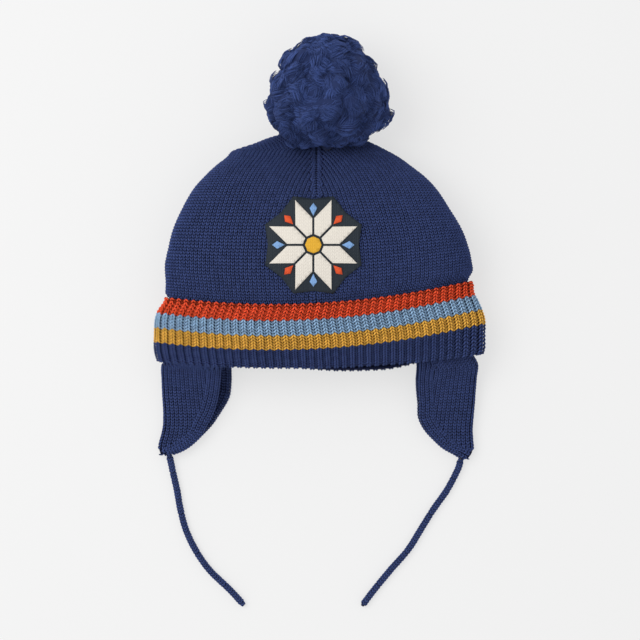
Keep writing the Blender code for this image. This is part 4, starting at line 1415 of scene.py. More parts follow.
def slab(name: str, outer: Array, inner: Array, wale: float, course: float) -> Mesh:
    """A closed sheet between two grids of points, with a "knit" UV map.

    Args:
        name: The mesh's name.
        outer: The outer face's points, (rows, columns, 3).
        inner: The inner face's points, as many.
        wale: Width of one wale.
        course: Height of one course.

    Returns:
        A smooth mesh whose faces point outwards.
    """
    rows, columns, _ = outer.shape
    across = np.array([arc_lengths(row) for row in outer])
    across = (across - across[:, columns // 2 : columns // 2 + 1]) / wale
    down = np.array([arc_lengths(outer[:, k]) for k in range(columns)]).T / course
    flat = np.stack([across.ravel(), -down.ravel()], axis=1)
    faces = []
    for r in range(rows - 1):
        for c in range(columns - 1):
            a = r * columns + c
            faces.append((a, a + 1, a + columns + 1, a + columns))
    edge = [*range(columns)]
    edge += [r * columns + columns - 1 for r in range(1, rows)]
    edge += [(rows - 1) * columns + c for c in range(columns - 2, -1, -1)]
    edge += [r * columns for r in range(rows - 2, 0, -1)]
    rim = list(zip(edge, edge[1:] + edge[:1]))
    mesh = closed_sheet(name, outer.reshape(-1, 3), inner.reshape(-1, 3), faces, rim, flat)
    face_outwards(mesh)
    mesh.shade_smooth()
    return mesh


@dataclass
class EarFlap:
    """A tongue of double knitting, sewn inside the rim and folded in half as the hat lies.

    Attributes:
        side: Which side it is on, -1 or 1 along X.
        table: Its fold, edges and heights at drops below the rim.
        width: Width of one layer, which the table's shares are of.
        tuck: How far it goes in over the rim.
        tuck_middle: Where the tucked part's middle row lies, as a share of the tuck.
        tip_height: The least height that its front layer has.
        spread: How soon its edges' rows gather towards the edge.
        level_share: Drop at which its rows no longer follow the rim.
        border_wales: Wales that follow each free edge.
        inside_wales: Wales that show on the inside of each free edge.
        most_slant: The most that the border's wales widen where its edge slants.
        border_over: How much deeper the wales lie that run in under the border.
        covered: How near to the border such a wale starts, in wales.
        least_room: Room from the fold that a wale of the border needs, in wales.
        edge_thickness: Share of its thickness that the ground has at a free edge.
        edge_lift: How far the yarn round its free edge stands out.
        flat_tip: How far the tip's yarn has to face up or down.
    """

    name: str
    side: int
    table: Rows
    form: CrownForm
    gauge: Gauge
    width: float = 0.0460
    wall: float = 0.0030
    tuck: float = 0.0120
    tuck_middle: float = 0.45
    tip_height: float = 0.0081
    ease: float = 0.0003
    spread: float = 2.2
    roundness: float = 2.2
    level_share: float = 0.5
    columns: int = 96
    border_wales: int = 3
    inside_wales: int = 3
    fine_steps: int = 4
    most_slant: float = 2.6
    border_over: float = 0.0004
    covered: float = 0.4
    least_room: float = 0.2
    edge_thickness: float = 0.5
    edge_lift: float = 0.0004
    flat_tip: float = 0.6

    def tucked_row(self, share: float) -> Array:
        """The flap's row where it lies against the crown's inside, at a height share."""
        inset = self.form.wall + GAP + self.wall / 2 + self.ease
        loop = self.form.loop(share, self.form.steps, -inset) - (*self.form.shift, 0.0)
        fold = loop[np.argmax(self.side * loop[:, 0])]
        place = np.linspace(1, -1, self.columns + 1)
        front, back = (self.table[0][k] * self.width for k in (2, 3))
        reach = np.where(place > 0, front, back)
        inward = (reach - (FLAP_FOLD_X - abs(fold[0]))) * np.abs(place) ** self.spread
        x = self.side * (abs(fold[0]) - inward)
        row = np.empty((self.columns + 1, 3))
        for keep, layer in ((place > 0, loop[:, 2] >= fold[2]), (place <= 0, loop[:, 2] <= fold[2])):
            line = loop[layer]
            line = line[np.argsort(line[:, 0])]
            for axis in range(3):
                row[keep, axis] = np.interp(x[keep], line[:, 0], line[:, axis])
        row[self.columns // 2] = fold
        return row

    def folded_row(self, sizes: tuple[float, ...]) -> Array:
        """The flap's row below the rim, from the front layer's free edge to the back's."""
        drop, fold, front, back, height, rounding, lifted = sizes
        under = self.wall / 2
        _, _, rim_under, _, _ = self.form.section(np.float64(0.0))
        low = under + (float(rim_under) + self.form.wall + GAP) * lifted
        high = max(height * self.width, self.tip_height) - under
        middle = low + self.form.side_fold * (high - low)
        place = np.linspace(1, -1, self.columns + 1)
        start = fold * self.width + under
        reach = np.where(place > 0, front, back) * self.width
        inward = (reach - start) * np.abs(place) ** self.spread
        before_bend = 1 - np.minimum(inward / (rounding * self.width), 1.0)
        bend = np.maximum(1 - before_bend**self.roundness, 0.0)
        end = np.where(place > 0, high, low)
        z = middle + (end - middle) * bend ** (1 / self.roundness)
        x = self.side * (FLAP_FOLD_X - start - inward)
        fade = max(1 - drop / self.level_share, 0.0)
        level = self.form.rim_y - CUFF_FOLD_WALL - GAP - drop * FLAP_DROP
        sag = self.form.drawn_up(0.0, x / self.form.half_width)
        sag = (sag - self.form.drawn_up(0.0, np.float64(self.side))) * fade
        return np.stack([x, level + sag, z], axis=1)

    def middle(self, spacing: float) -> Array:
        """The middle of its wall as rows a spacing apart, from the tuck to the tip."""
        tucks = (self.tuck, self.tuck * self.tuck_middle, 0.0, -CUFF_FOLD_WALL)
        rows = [self.tucked_row(tuck / self.form.height) for tuck in tucks]
        rows += [self.folded_row(sizes) for sizes in self.table]
        grid = np.array(rows) + (*self.form.shift, 0.0)
        gone = arc_lengths(grid[:, self.columns // 2])
        even = np.append(np.arange(0, gone[-1] - spacing / 2, spacing), gone[-1])
        return through(grid, np.interp(even, gone, np.arange(len(grid))))

    def outward(self, grid: Array) -> Array:
        """Directions from the wall's middle to the flap's outer side."""
        down = np.gradient(grid, axis=0)
        across = np.gradient(grid, axis=1)
        return self.side * unit(np.cross(down, across))

    def lay(self, places: Places, line: Array, normals: Array, lift: float) -> None:
        """Adds one wale of stitches along a line, a course apart.

        Args:
            places: Where they are added.
            line: Points along the middle of the flap's wall, from the rim towards the tip.
            normals: The directions that the stitches face at the points.
            lift: How far from the line they lie.
        """
        course = self.gauge.course
        gone = arc_lengths(line)
        count = int(gone[-1] / course)
        if count < 1:
            return
        at = np.interp((np.arange(count) + 0.5) * course, gone, np.arange(len(line)))
        normal = unit(sample(normals, at))
        ahead = sample(line, np.minimum(at + 1, len(line) - 1))
        ahead = ahead - sample(line, np.maximum(at - 1, 0))
        size = np.tile([self.gauge.wale, course, self.gauge.yarn], (count, 1))
        places.add(sample(line, at) + normal * lift, normal, -unit(ahead), size)

    def side_stitches(self, places: Places, grid: Array, out: Array, sign: int) -> None:
        """Adds the stitches of one layer: its wales, its border and its free edge.

        Args:
            places: Where they are added.
            grid: The middle of the wall as fine rows.
            out: The directions to its outer side.
            sign: -1 for the front layer and 1 for the back layer.
        """
        pitch = self.gauge.wale
        lift = self.wall / 2 - self.gauge.sink
        half = self.columns // 2
        measures = np.array([arc_lengths(row) for row in grid])
        measures = measures - measures[:, half : half + 1]
        end = 0 if sign < 0 else -1
        reach = np.abs(measures[:, end])
        spacing = self.gauge.course / self.fine_steps
        slant = np.minimum(np.sqrt(1 + (np.gradient(reach) / spacing) ** 2), self.most_slant)

        def spots(row: int, distance: Array) -> tuple[Array, Array]:
            """Spots at distances from the fold, and the directions out there."""
            index = np.interp(sign * distance, measures[row], np.arange(self.columns + 1))
            return sample(grid[row], index), unit(sample(out[row], index))

        reach_half = self.fine_steps // 2
        for row in range(self.fine_steps, len(grid) - reach_half, self.fine_steps):
            limit = reach[row] - self.border_wales * pitch * slant[row]
            distance = np.arange(0.5, max(limit / pitch + 0.5, 0.0)) * pitch
            if len(distance) == 0:
                continue
            spot, normal = spots(row, distance)
            along = spots(row - reach_half, distance)[0] - spots(row + reach_half, distance)[0]
            under = np.where(distance > limit - self.covered * pitch, self.border_over, 0.0)
            wide = np.full(len(distance), pitch)
            size = sizes_of(wide, np.linalg.norm(along, axis=1), self.gauge.yarn)
            places.add(spot + normal * (lift - under)[:, None], normal, along, size)
        for wale in range(self.border_wales):
            distance = reach - (wale + 0.5) * pitch * slant
            kept = np.flatnonzero(distance > self.least_room * pitch)
            pairs = [spots(row, distance[row : row + 1]) for row in kept]
            line = np.array([spot[0] for spot, _ in pairs])
            normals = np.array([normal[0] for _, normal in pairs])
            self.lay(places, line, normals, lift)
            if wale < self.inside_wales:
                self.lay(places, line, -normals, lift)
        line = grid[:, end]
        beyond = unit(line - grid[:, 1 if sign < 0 else -2])
        way = unit(np.gradient(line, axis=0))
        beyond = unit(beyond - way * np.sum(beyond * way, axis=1)[:, None])
        self.lay(places, line, beyond, self.edge_lift)

    def stitches(self) -> Places:
        """Places of the stitches on its outer side, its edges and just inside them."""
        grid = self.middle(self.gauge.course / self.fine_steps)
        out = self.outward(grid)
        places = Places()
        for sign in (-1, 1):
            self.side_stitches(places, grid, out, sign)
        tip = grid[-1]
        lengths = arc_lengths(tip)
        count = max(round(lengths[-1] / self.gauge.wale), 2)
        at = lengths[-1] * (np.arange(count) + 0.5) / count
        index = np.interp(at, lengths, np.arange(len(lengths)))
        spots = sample(tip, index)
        normals = unit(sample(out[-1], index))
        ways = unit(spots - sample(grid[-1 - self.fine_steps], index))
        size = np.tile([lengths[-1] / count, self.gauge.course, self.gauge.yarn], (count, 1))
        flat = np.abs(normals[:, 2]) > self.flat_tip
        places.add((spots + ways * self.edge_lift / 2)[flat], ways[flat], normals[flat], size[flat])
        return places

    def dress(self, planter: Planter, shape: Mesh, yarn: Material, ground: Material) -> None:
        """Builds the flap's wall and knits it."""
        grid = self.middle(self.gauge.course)
        out = self.outward(grid)
        thin = np.ones((1, self.columns + 1, 1))
        thin[0, [0, -1], 0] = self.edge_thickness
        base = slab(
            self.name + "_wall",
            grid + out * (self.wall / 2 - self.gauge.ground) * thin,
            grid - out * (self.wall / 2 - GAP) * thin,
            self.gauge.wale,
            self.gauge.course,
        )
        off_floor(base)
        base.materials.append(ground)
        wall = add_piece(self.name + "_wall", base)
        knit = planter.plant(self.name + "_stitches", self.stitches(), [shape], yarn, seed=31)
        for piece in (wall, knit):
            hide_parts(self.name)


@dataclass
class Tie:
    """A knitted cord that hangs from a flap's tip and lies on the floor.

    Attributes:
        side: Which side it is on, -1 or 1 along X.
        route: Its route on the floor.
        reach: Length that its route's shares are of.
        start_height: Height of its middle where it leaves the flap.
        start_lying: Height of its next point, as a share of half its thickness.
        fine_points: Points of its route before it is cut into even steps.
        ring_step: Even steps from one ring of the core to the next.
        least_end: Least square of the share that its thickness keeps at an end.
        floor_near: Height over the floor below which it is pressed flat.
    """

    name: str
    side: int
    route: Rows
    form: CrownForm
    gauge: Gauge
    diameter: float = 0.0047
    reach: float = 0.1000
    start_height: float = 0.0040
    start_lying: float = 1.25
    wales: int = 5
    core: float = 0.00165
    yarn: float = 0.00095
    yarn_radius: float = 0.00172
    snug: float = 1.12
    sides: int = 12
    fine_points: int = 600
    step: float = 0.0005
    ring_step: int = 3
    first_course: float = 0.0008
    end_room: float = 0.0012
    least_end: float = 0.3
    floor_near: float = 0.0006

    def path(self) -> Array:
        """Points along its middle, an even step apart."""
        lying = self.diameter / 2
        level = self.form.rim_y - CUFF_FOLD_WALL - GAP - FLAP_DROP
        heights = [self.start_height, lying * self.start_lying] + [lying] * (len(self.route) - 2)
        knots = []
        for (inward, down), z in zip(self.route, heights):
            x = self.side * (FLAP_FOLD_X - inward * self.reach)
            y = level - down * self.reach
            knots.append((x + self.form.shift[0], y + self.form.shift[1], z))
        fine = through(np.array(knots), np.linspace(0, len(knots) - 1, self.fine_points))
        gone = arc_lengths(fine)
        even = np.linspace(0, gone[-1], int(gone[-1] / self.step))
        return np.stack([np.interp(even, gone, fine[:, k]) for k in range(3)], axis=1)

    def taper(self, left: float) -> float:
        """Share of its thickness that it keeps at a distance from an end."""
        short = max(1 - left / (self.diameter / 2), 0.0)
        return math.sqrt(max(1 - short**2, self.least_end))

    def dress(self, planter: Planter, shape: Mesh, yarn: Material) -> float:
        """Args:
            planter: What lays its stitches.
            shape: One stitch.
            yarn: Its finish.

        Returns:
            Its length.
        """
        path = self.path()
        gone = arc_lengths(path)
        length = float(gone[-1])
        way = unit(np.gradient(path, axis=0))
        side = unit(np.cross(way, (0.0, 0.0, 1.0)))
        up = np.cross(side, way)

        def round_at(k: int, count: int, first: float = 0.0) -> Array:
            """Directions out of the cord at a point of its path, evenly round it."""
            turn = 2 * math.pi * (np.arange(count) + first) / count
            return np.outer(np.cos(turn), side[k]) + np.outer(np.sin(turn), up[k])

        rings = []
        for k in [*range(0, len(path) - 2, self.ring_step), len(path) - 1]:
            radius = self.core * self.taper(min(gone[k], length - gone[k]))
            rings.append(path[k] + radius * round_at(k, self.sides))
        # The core's yarn UV sits at a strand's end, where the end's painted shade darkens it fully: the core
        # shows as shade between the stitches.
        around = np.arange(self.sides + 1) / self.sides
        uv = np.stack([around, np.ones(self.sides + 1)], axis=1)
        core = lofted(self.name + "_core", rings, [uv] * len(rings))
        core.uv_layers["knit"].name = "yarn"
        places = Places()
        courses = int((length - self.end_room) / self.gauge.course)
        for course in range(courses + 1):
            at = self.first_course + course * self.gauge.course
            k = min(int(at / length * (len(path) - 1)), len(path) - 1)
            radius = self.yarn_radius * self.taper(min(at, length - at))
            out = round_at(k, self.wales, 0.25)
            wide = 2 * math.pi * radius / self.wales * self.snug
            size = np.tile([wide, self.gauge.course, self.yarn], (self.wales, 1))
            places.add(path[k] + out * radius, out, np.tile(-way[k], (self.wales, 1)), size)
        knit = planter.plant(self.name + "_stitches", places, [shape], yarn, 0.08, 0.05, 41)
        whole = bmesh.new()
        whole.from_mesh(knit.data)
        whole.from_mesh(core)
        whole.to_mesh(knit.data)
        whole.free()
        knit.data.shade_smooth()
        off_floor(knit.data, self.floor_near)
        knit.name = self.name + "_cord"
        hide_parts(self.name)
        return length


@dataclass
class Pompom:
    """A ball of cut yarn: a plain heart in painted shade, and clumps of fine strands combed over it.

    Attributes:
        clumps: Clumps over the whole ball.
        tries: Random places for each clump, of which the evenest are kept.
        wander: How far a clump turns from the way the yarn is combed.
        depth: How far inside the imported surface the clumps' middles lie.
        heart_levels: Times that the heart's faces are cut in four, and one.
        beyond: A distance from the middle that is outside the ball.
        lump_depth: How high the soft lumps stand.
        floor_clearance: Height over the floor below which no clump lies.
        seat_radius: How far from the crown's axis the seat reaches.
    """

    centre: Array
    frame_mesh: Mesh
    crown: CrownForm
    clumps: int = 960
    tries: int = 5
    strands: int = 9
    kinds: int = 8
    clump_length: float = 0.0118
    clump_width: float = 0.50
    fan: tuple[float, float] = (0.5, 1.15)
    bow: float = 0.2
    crest: float = 0.055
    strand_width: tuple[float, float] = (0.016, 0.024)
    strand_depth: float = 0.022
    wander: float = 0.16
    size_range: tuple[float, float] = (0.82, 1.18)
    depth: float = 0.0010
    depth_range: tuple[float, float] = (-0.0007, 0.0008)
    heart_depth: float = 0.0011
    heart_levels: int = 5
    beyond: float = 0.1
    lump_depth: float = 0.0007
    lump_size: float = 0.0125
    swirls: int = 7
    comb_waves: tuple[float, float] = (110.0, 230.0)
    floor_clearance: float = 0.0022
    seat_radius: float = 0.024
    seat_height: float = 0.001

    def tree(self) -> BVHTree:
        """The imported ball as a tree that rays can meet."""
        corners = [vert.co[:] for vert in self.frame_mesh.vertices]
        faces = [face.vertices[:] for face in self.frame_mesh.polygons]
        return BVHTree.FromPolygons(corners, faces)

    def meet(self, tree: BVHTree, ways: Array) -> tuple[Array, Array]:
        """Where rays from the ball's middle leave it, and the directions out of it there."""
        spots = []
        normals = []
        for way in ways:
            start = Vector(self.centre) + Vector(way) * self.beyond
            spot, normal, _, _ = tree.ray_cast(start, -Vector(way))
            spots.append(spot[:] if spot else self.centre)
            normals.append(normal[:] if spot else way)
        return np.array(spots), np.array(normals)

    def heart(self, tree: BVHTree, material: Material) -> Object:
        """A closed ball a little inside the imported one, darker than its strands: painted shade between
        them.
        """
        bm = bmesh.new()
        bmesh.ops.create_icosphere(bm, subdivisions=self.heart_levels, radius=1.0)
        ways = np.array([vert.co[:] for vert in bm.verts])
        spots, _ = self.meet(tree, ways)
        reach = np.linalg.norm(spots - self.centre, axis=1) - self.heart_depth
        reach += self.lump_depth * self.lumps(spots)
        for vert, way, far in zip(bm.verts, ways, reach):
            vert.co = self.centre + way * far
        mesh = bpy.data.meshes.new("pompom_heart")
        bm.to_mesh(mesh)
        bm.free()
        mesh.shade_smooth()
        mesh.materials.append(material)
        piece = add_piece("pompom_heart", mesh)
        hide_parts("pompom")
        return piece

    def clump(self, shapes: YarnShapes, number: int) -> Mesh:
        """One clump of strands that lie side by side, along Y, and arch out along Z."""
        chance = np.random.default_rng(500 + number)
        bow = chance.uniform(-self.bow, self.bow)
        fan = chance.uniform(*self.fan)
        strands = []
        for k in range(self.strands):
            across = (k - (self.strands - 1) / 2) / self.strands
            x = across * self.clump_width + chance.uniform(-0.02, 0.02)
            tip = x * fan + chance.uniform(-0.04, 0.04)
            crest = self.crest * (1 - (2.0 * across) ** 2) + chance.uniform(-0.025, 0.025)
            start = (x * 0.8 - 0.06, -0.5 + chance.uniform(-0.08, 0.12), -0.25)
            middle = (x + bow, chance.uniform(-0.08, 0.08), crest)
            far = 0.5 + chance.uniform(-0.16, 0.08)
            end = (tip - bow * 0.6, far, -0.20 + chance.uniform(-0.05, 0.07))
            wide = chance.uniform(*self.strand_width)
            strands.append(([start, middle, end], wide, self.strand_depth))
        return shapes.mesh(f"clump_{number}", strands)

    def lumps(self, spots: Array) -> Array:
        """Soft heights from about -1 to 1 over the ball, a lump's size apart."""
        chance = np.random.default_rng(76)
        height = np.zeros(len(spots))
        for _ in range(self.swirls):
            wave = unit(chance.normal(0.0, 1.0, 3)) * 2 * math.pi / self.lump_size
            wave = wave * chance.uniform(0.6, 1.1)
            height += np.sin(spots @ wave + chance.uniform(0, 2 * math.pi))
        return np.clip(height / 2, -1.6, 1.2)

    def combed(self, spots: Array, normals: Array) -> Array:
        """Directions along the ball that turn slowly in a few swirls."""
        chance = np.random.default_rng(77)
        slope = np.zeros_like(spots)
        for _ in range(self.swirls):
            wave = chance.normal(0.0, 1.0, 3)
            wave *= chance.uniform(*self.comb_waves) / np.linalg.norm(wave)
            phase = chance.uniform(0, 2 * math.pi)
            slope += np.cos(spots @ wave + phase)[:, None] * wave
        return unit(np.cross(normals, slope))

    def spread(self) -> tuple[Array, Array]:
        """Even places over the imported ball's whole surface, and the directions out there."""
        chance = np.random.default_rng(78)
        self.frame_mesh.calc_loop_triangles()
        corners = np.array([vert.co[:] for vert in self.frame_mesh.vertices])
        faces = corners[np.array([tri.vertices[:] for tri in self.frame_mesh.loop_triangles])]
        crosses = np.cross(faces[:, 1] - faces[:, 0], faces[:, 2] - faces[:, 0])
        area = np.linalg.norm(crosses, axis=1)
        picked = chance.choice(len(faces), self.clumps * self.tries, p=area / area.sum())
        part = chance.uniform(0, 1, (len(picked), 2))
        part[part.sum(axis=1) > 1] = 1 - part[part.sum(axis=1) > 1]
        face = faces[picked]
        spots = face[:, 0] + part[:, :1] * (face[:, 1] - face[:, 0])
        spots = spots + part[:, 1:] * (face[:, 2] - face[:, 0])
        normals = unit(crosses[picked])
        chosen = np.zeros(self.clumps, int)
        nearest = np.linalg.norm(spots - spots[0], axis=1)
        for k in range(1, self.clumps):
            chosen[k] = np.argmax(nearest)
            nearest = np.minimum(nearest, np.linalg.norm(spots - spots[chosen[k]], axis=1))
        return spots[chosen], normals[chosen]

    def places(self) -> Places:
        """Where the clumps go."""
        chance = np.random.default_rng(79)
        spots, normals = self.spread()
        ways = unit(spots - self.centre)
        apex = self.crown.apex()
        from_axis = np.hypot(spots[:, 0] - apex[0], spots[:, 2] - apex[2])
        seat = (spots[:, 1] < apex[1] + self.seat_height) & (from_axis < self.seat_radius)
        keep = (spots[:, 2] > self.floor_clearance) & ~seat
        spots, normals, ways = spots[keep], normals[keep], ways[keep]
        facing = unit(normals + ways)
        along = self.combed(spots, facing)
        along = along + chance.normal(0.0, self.wander, along.shape)
        depth = self.depth + chance.uniform(*self.depth_range, len(spots))
        depth -= self.lump_depth * self.lumps(spots)
        size = self.clump_length * chance.uniform(*self.size_range, len(spots))
        places = Places()
        spots = spots - facing * depth[:, None]
        places.add(spots, facing, along, np.repeat(size[:, None], 3, axis=1))
        return places

    def dress(self, planter: Planter, yarn: Material, shade: Material) -> None:
        """Builds the heart and lays the clumps."""
        self.heart(self.tree(), shade)
        shapes = YarnShapes(sides=3, rings=((0.10, 0.75), (0.36, 1.0), (0.64, 1.0), (0.90, 0.65)))
        kinds = [self.clump(shapes, k) for k in range(self.kinds)]
        piece = planter.plant("pompom_strands", self.places(), kinds, yarn, 0.14, 0.08, 51)
        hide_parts("pompom")


@dataclass
class Star:
    """The transfer design: a dark backing with cream petals, coloured gems and a centre.

    Attributes:
        border: How far the backing shows round the petals.
        seam: Half the room between two pieces.
        clearance: How far the backing lies over the crown's surface.
        gem_reach: The gems' reach, as a share of the petals' notches.
        gem_width: The gems' width, as a share of the radius.
        gem_border: The backing's border at the gems, in borders.
        grid: Distance between the cuts that let a sheet bend.
        slope_step: Distance over which the crown's slope is read.
    """

    form: CrownForm
    gauge: Gauge
    radius: float = 0.0315
    x: float = -0.004
    y: float = -0.0015
    border: float = 0.0024
    backing_thickness: float = 0.0006
    piece_thickness: float = 0.0005
    points: int = 8
    seam: float = 0.0007
    clearance: float = 0.0004
    centre_share: float = 0.17
    gem_reach: float = 1.42
    gem_width: float = 0.16
    gem_border: float = 2.2
    grid: float = 0.0025
    slope_step: float = 0.001

    def around(self, radius: float, degrees: float) -> tuple[float, float]:
        """A point at a radius and an angle round the star's middle, in the shared frame."""
        angle = math.radians(degrees)
        x = self.form.shift[0] + self.x + radius * math.cos(angle)
        return x, self.form.shift[1] + self.y + radius * math.sin(angle)

    def sheet(
        self,
        name: str,
        outline: list[tuple[float, float]],
        lift: float,
        thickness: float,
        material: Material,
    ) -> None:
        """A thin closed sheet of an outline's shape that follows the crown's front.

        Args:
            name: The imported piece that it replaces.
            outline: Its corners as seen from the front.
            lift: How far its underside lies above the crown's packed surface.
            thickness: Its thickness.
            material: Its finish.
        """
        bm = bmesh.new()
        bm.faces.new([bm.verts.new((x, y, 0.0)) for x, y in outline])
        for axis in (0, 1):
            low = min(point[axis] for point in outline)
            high = max(point[axis] for point in outline)
            normal = Vector((1, 0, 0)) if axis == 0 else Vector((0, 1, 0))
            for step in range(math.ceil(low / self.grid), math.floor(high / self.grid) + 1):
                everything = bm.verts[:] + bm.edges[:] + bm.faces[:]
                spot = normal * step * self.grid
                bmesh.ops.bisect_plane(bm, geom=everything, plane_co=spot, plane_no=normal)
        bmesh.ops.remove_doubles(bm, verts=bm.verts, dist=MERGE)
        bmesh.ops.triangulate(bm, faces=bm.faces)
        for face in bm.faces:
            face.normal_update()
            if face.normal.z < 0:
                face.normal_flip()
        bm.verts.index_update()
        flat = np.array([vert.co[:] for vert in bm.verts])
        faces = [tuple(vert.index for vert in face.verts) for face in bm.faces]
        rim = []
        for edge in bm.edges:
            if edge.is_boundary:
                loop = edge.link_loops[0]
                rim.append((loop.vert.index, loop.link_loop_next.vert.index))
        bm.free()
        x, y = flat[:, 0], flat[:, 1]
        step = self.slope_step
        spots = self.form.front(x, y)
        along_x = self.form.front(x + step, y) - self.form.front(x - step, y)
        along_y = self.form.front(x, y + step) - self.form.front(x, y - step)
        out = unit(np.cross(along_x, along_y))
        uv = np.stack([x / self.gauge.wale, y / self.gauge.course], axis=1)
        mesh = closed_sheet(name, spots + out * (lift + thickness), spots + out * lift, faces, rim, uv)
        mesh.materials.append(material)
        piece = add_piece(name + "_print", mesh)
        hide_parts(name)

    def dress(self, inks: dict[str, Material]) -> None:
        """Lays the backing and every piece of the design over it."""
        turn = 360 / self.points
        notch = self.radius / (2 * math.cos(math.radians(turn / 2)))
        gem_radius = notch * self.gem_reach
        outline = []
        for k in range(self.points):
            outline.append(self.around(self.radius + self.border, turn * k + turn / 2))
            outline.append(self.around(gem_radius + self.border * self.gem_border, turn * (k + 1)))
        lift = self.clearance
        self.sheet("star_backing", outline, lift, self.backing_thickness, inks["black"])
        lift += self.backing_thickness + GAP
        seam = self.seam
        centre_radius = self.radius * self.centre_share
        inner = centre_radius + 2 * seam
        side = math.degrees(seam / notch)
        root = math.degrees(seam / inner)
        wide = math.degrees(self.gem_width * self.radius / 2 / gem_radius)
        for k in range(self.points):
            middle = turn * k + turn / 2
            petal = [
                self.around(inner, middle - turn / 2 + root),
                self.around(notch, middle - turn / 2 + side),
                self.around(self.radius - seam, middle),
                self.around(notch, middle + turn / 2 - side),
                self.around(inner, middle + turn / 2 - root),
            ]
            name = f"star_petal_{k + 1}"
            self.sheet(name, petal, lift, self.piece_thickness, inks["cream"])
            edge = turn * (k + 1)
            gem = [
                self.around(notch + 2 * seam, edge),
                self.around(gem_radius - seam, edge - wide),
                self.around(gem_radius + self.border, edge),
                self.around(gem_radius - seam, edge + wide),
            ]
            colour = ("orange", "blue")[k % 2]
            name = f"star_gem_{k + 1}"
            self.sheet(name, gem, lift, self.piece_thickness, inks[colour])
        centre = [self.around(centre_radius, turn * k) for k in range(self.points)]
        self.sheet("star_centre", centre, lift, self.piece_thickness, inks["mustard"])


@dataclass(frozen=True)
class Studio:
    """A pale floor, soft light from all round, and a camera straight above the hat.

    Attributes:
        shift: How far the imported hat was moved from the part's own middle.
        middle: What the camera looks at, before the shift.
        floor_grey: How much light the floor gives back.
        floor_glow: How much light it gives off.
    """

    shift: tuple[float, float]
    middle: tuple[float, float] = (0.00033, -0.0504)
    height: float = 1.5
    lens: float = 124.8
    floor_size: float = 6.0
    floor_grey: float = 0.25
    floor_glow: float = 0.613
    sky_strength: float = 0.80
    lamp_size: float = 1.1
    lamp_power: float = 9.5
    lamp_place: tuple[float, float, float] = (-0.75, 0.25, 1.15)

    def build(self) -> None:
        """Puts up the floor, the lights and the camera."""
        scene = bpy.context.scene
        half = self.floor_size / 2
        mesh = bpy.data.meshes.new("floor")
        corners = [(-half, -half, 0.0), (half, -half, 0.0), (half, half, 0.0), (-half, half, 0.0)]
        mesh.from_pydata(corners, [], [(0, 1, 2, 3)])
        floor = bpy.data.objects.new("floor", mesh)
        scene.collection.objects.link(floor)
        paper = bpy.data.materials.new("pale paper")
        paper.use_nodes = True
        shader = paper.node_tree.nodes["Principled BSDF"]
        shader.inputs["Base Color"].default_value = (*[self.floor_grey] * 3, 1.0)
        shader.inputs["Emission Color"].default_value = (1.0, 1.0, 1.0, 1.0)
        shader.inputs["Emission Strength"].default_value = self.floor_glow
        shader.inputs["Roughness"].default_value = 0.95
        shader.inputs["Specular IOR Level"].default_value = 0.0
        mesh.materials.append(paper)
        floor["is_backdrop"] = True
        world = bpy.data.worlds.new("soft white")
        world.use_nodes = True
        back = world.node_tree.nodes["Background"]
        back.inputs["Color"].default_value = (1.0, 1.0, 1.0, 1.0)
        back.inputs["Strength"].default_value = self.sky_strength
        scene.world = world
        sky = bpy.data.lights.new("soft box", "AREA")
        sky.shape = "DISK"
        sky.size = self.lamp_size
        sky.energy = self.lamp_power
        lamp = bpy.data.objects.new("soft box", sky)
        lamp.location = self.lamp_place
        aim = Vector((0.0, 0.0, 0.0)) - lamp.location
        lamp.rotation_euler = aim.to_track_quat("-Z", "Y").to_euler()
        scene.collection.objects.link(lamp)
        seen = bpy.data.cameras.new("camera")
        seen.lens = self.lens
        seen.sensor_width = 36.0
        seen.clip_start = 0.05
        seen.clip_end = 20.0
        camera = bpy.data.objects.new("camera", seen)
        camera.location = (self.middle[0] + self.shift[0], self.middle[1] + self.shift[1], self.height)
        scene.collection.objects.link(camera)
        scene.camera = camera
        scene.view_settings.view_transform = "Standard"


def ink(red: int, green: int, blue: int, gain: float = 1.0) -> tuple[float, float, float]:
    """A colour as seen on a screen, as the linear light that it reflects."""
    linear = []
    for value in (red, green, blue):
        share = value / 255
        light = share / 12.92 if share <= 0.04045 else ((share + 0.055) / 1.055) ** 2.4
        linear.append(min(light * gain, 0.95))
    return tuple(linear)


def hat_shift() -> tuple[float, float]:
    """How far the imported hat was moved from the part's own middle."""
    low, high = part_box("star_centre")
    middle = (low + high) / 2
    return middle.x - Star.x, middle.y - Star.y


def record_bounds(label: str, sizes: dict) -> None:
    sizes[label] = [[float(value) for value in corner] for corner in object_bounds()]


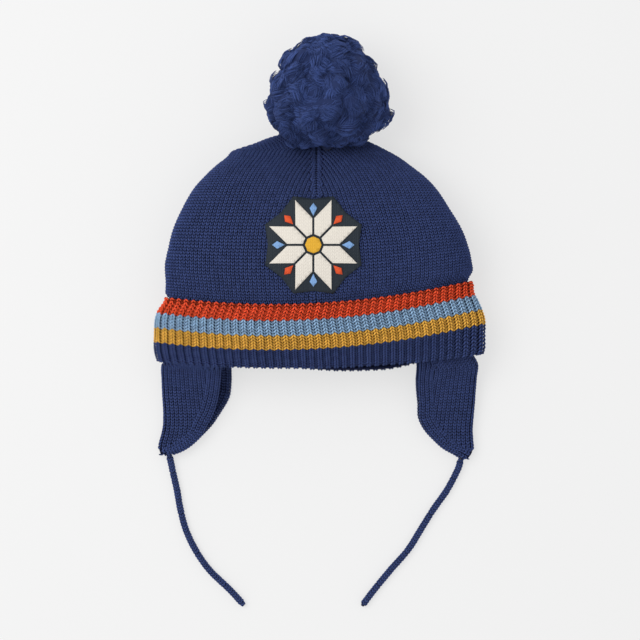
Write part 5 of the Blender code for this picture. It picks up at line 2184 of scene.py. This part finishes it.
def main() -> None:
    """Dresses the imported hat."""
    logging.basicConfig(level=logging.INFO, format="%(message)s")
    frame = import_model()
    sizes: dict = {}
    record_bounds("frame", sizes)
    shift = hat_shift()
    form = CrownForm(shift)
    gauge = Gauge()
    effects = Effects()
    planter = Planter()
    shapes = YarnShapes()
    navy = YarnFinish("navy yarn", ink(51, 64, 107, 1.5), ink(30, 37, 66))
    orange = YarnFinish("orange yarn", ink(224, 69, 40, 1.8), ink(132, 38, 22), end_shadow=0.48)
    blue = YarnFinish("light blue yarn", ink(134, 164, 192, 1.5), ink(76, 96, 122), end_shadow=0.52)
    mustard = YarnFinish("mustard yarn", ink(240, 157, 68, 1.58), ink(140, 90, 35), end_shadow=0.6)
    finishes = {"navy": navy, "orange": orange, "blue": blue, "mustard": mustard}
    yarns = {name: finish.material(effects) for name, finish in finishes.items()}
    # The ground under the stitches, lining too, is painted shade: darker copies of the yarns' colours, seen
    # between the stitches.
    dark = ink(36, 43, 76)
    ground = KnitFinish("navy ground", ((0.0, dark),)).material(effects)
    stripes = KnitFinish(
        "striped ground",
        (
            (-100.0, ink(150, 52, 30)),
            (5.0, ink(85, 104, 130)),
            (10.0, ink(150, 108, 50)),
            (15.0, dark),
        ),
    ).material(effects)
    stitch = shapes.make(Shape.STITCH)
    Crown(form, gauge).dress(planter, yarns["navy"], ground)
    Cuff(form, gauge).dress(planter, shapes, yarns, stripes)
    for name, side, table in (("ear_flap_left", -1, LEFT_FLAP), ("ear_flap_right", 1, RIGHT_FLAP)):
        EarFlap(name, side, table, form, gauge).dress(planter, stitch, yarns["navy"], ground)
    for name, side, route in (("tie_left", -1, LEFT_TIE_ROUTE), ("tie_right", 1, RIGHT_TIE_ROUTE)):
        length = Tie(name, side, route, form, gauge).dress(planter, stitch, yarns["navy"])
        LOG.info("%s is %.4f m long", name, length)
    low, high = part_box("pompom")
    centre = np.array((low + high) / 2)
    fluff = YarnFinish(
        "pompom yarn",
        ink(54, 70, 118, 1.55),
        ink(34, 44, 82),
        relief=0.0001,
        variation=0.14,
        strand_variation=0.35,
        end_shadow=0.5,
        turns=0.6,
    ).material(effects)
    # The heart's colour is painted shade, darker than the strands, and shows in the gaps between the clumps.
    shade = YarnFinish("pompom shade", ink(44, 56, 96, 1.2), ink(38, 49, 86), end_shadow=0.0)
    pompom = Pompom(centre, frame["nodes"]["pompom"].data, form)
    pompom.dress(planter, fluff, shade.material(effects))
    prints = {
        "black": PrintFinish("near-black print", ink(28, 38, 48)),
        "cream": PrintFinish("cream print", ink(226, 219, 208)),
        "orange": PrintFinish("orange print", ink(222, 82, 38)),
        "blue": PrintFinish("light blue print", ink(125, 165, 215)),
        "mustard": PrintFinish("mustard print", ink(224, 170, 45)),
    }
    inks = {name: finish.material(effects) for name, finish in prints.items()}
    Star(form, gauge).dress(inks)
    Studio(shift).build()
    record_bounds("visual", sizes)


if __name__ == "__main__":
    main()
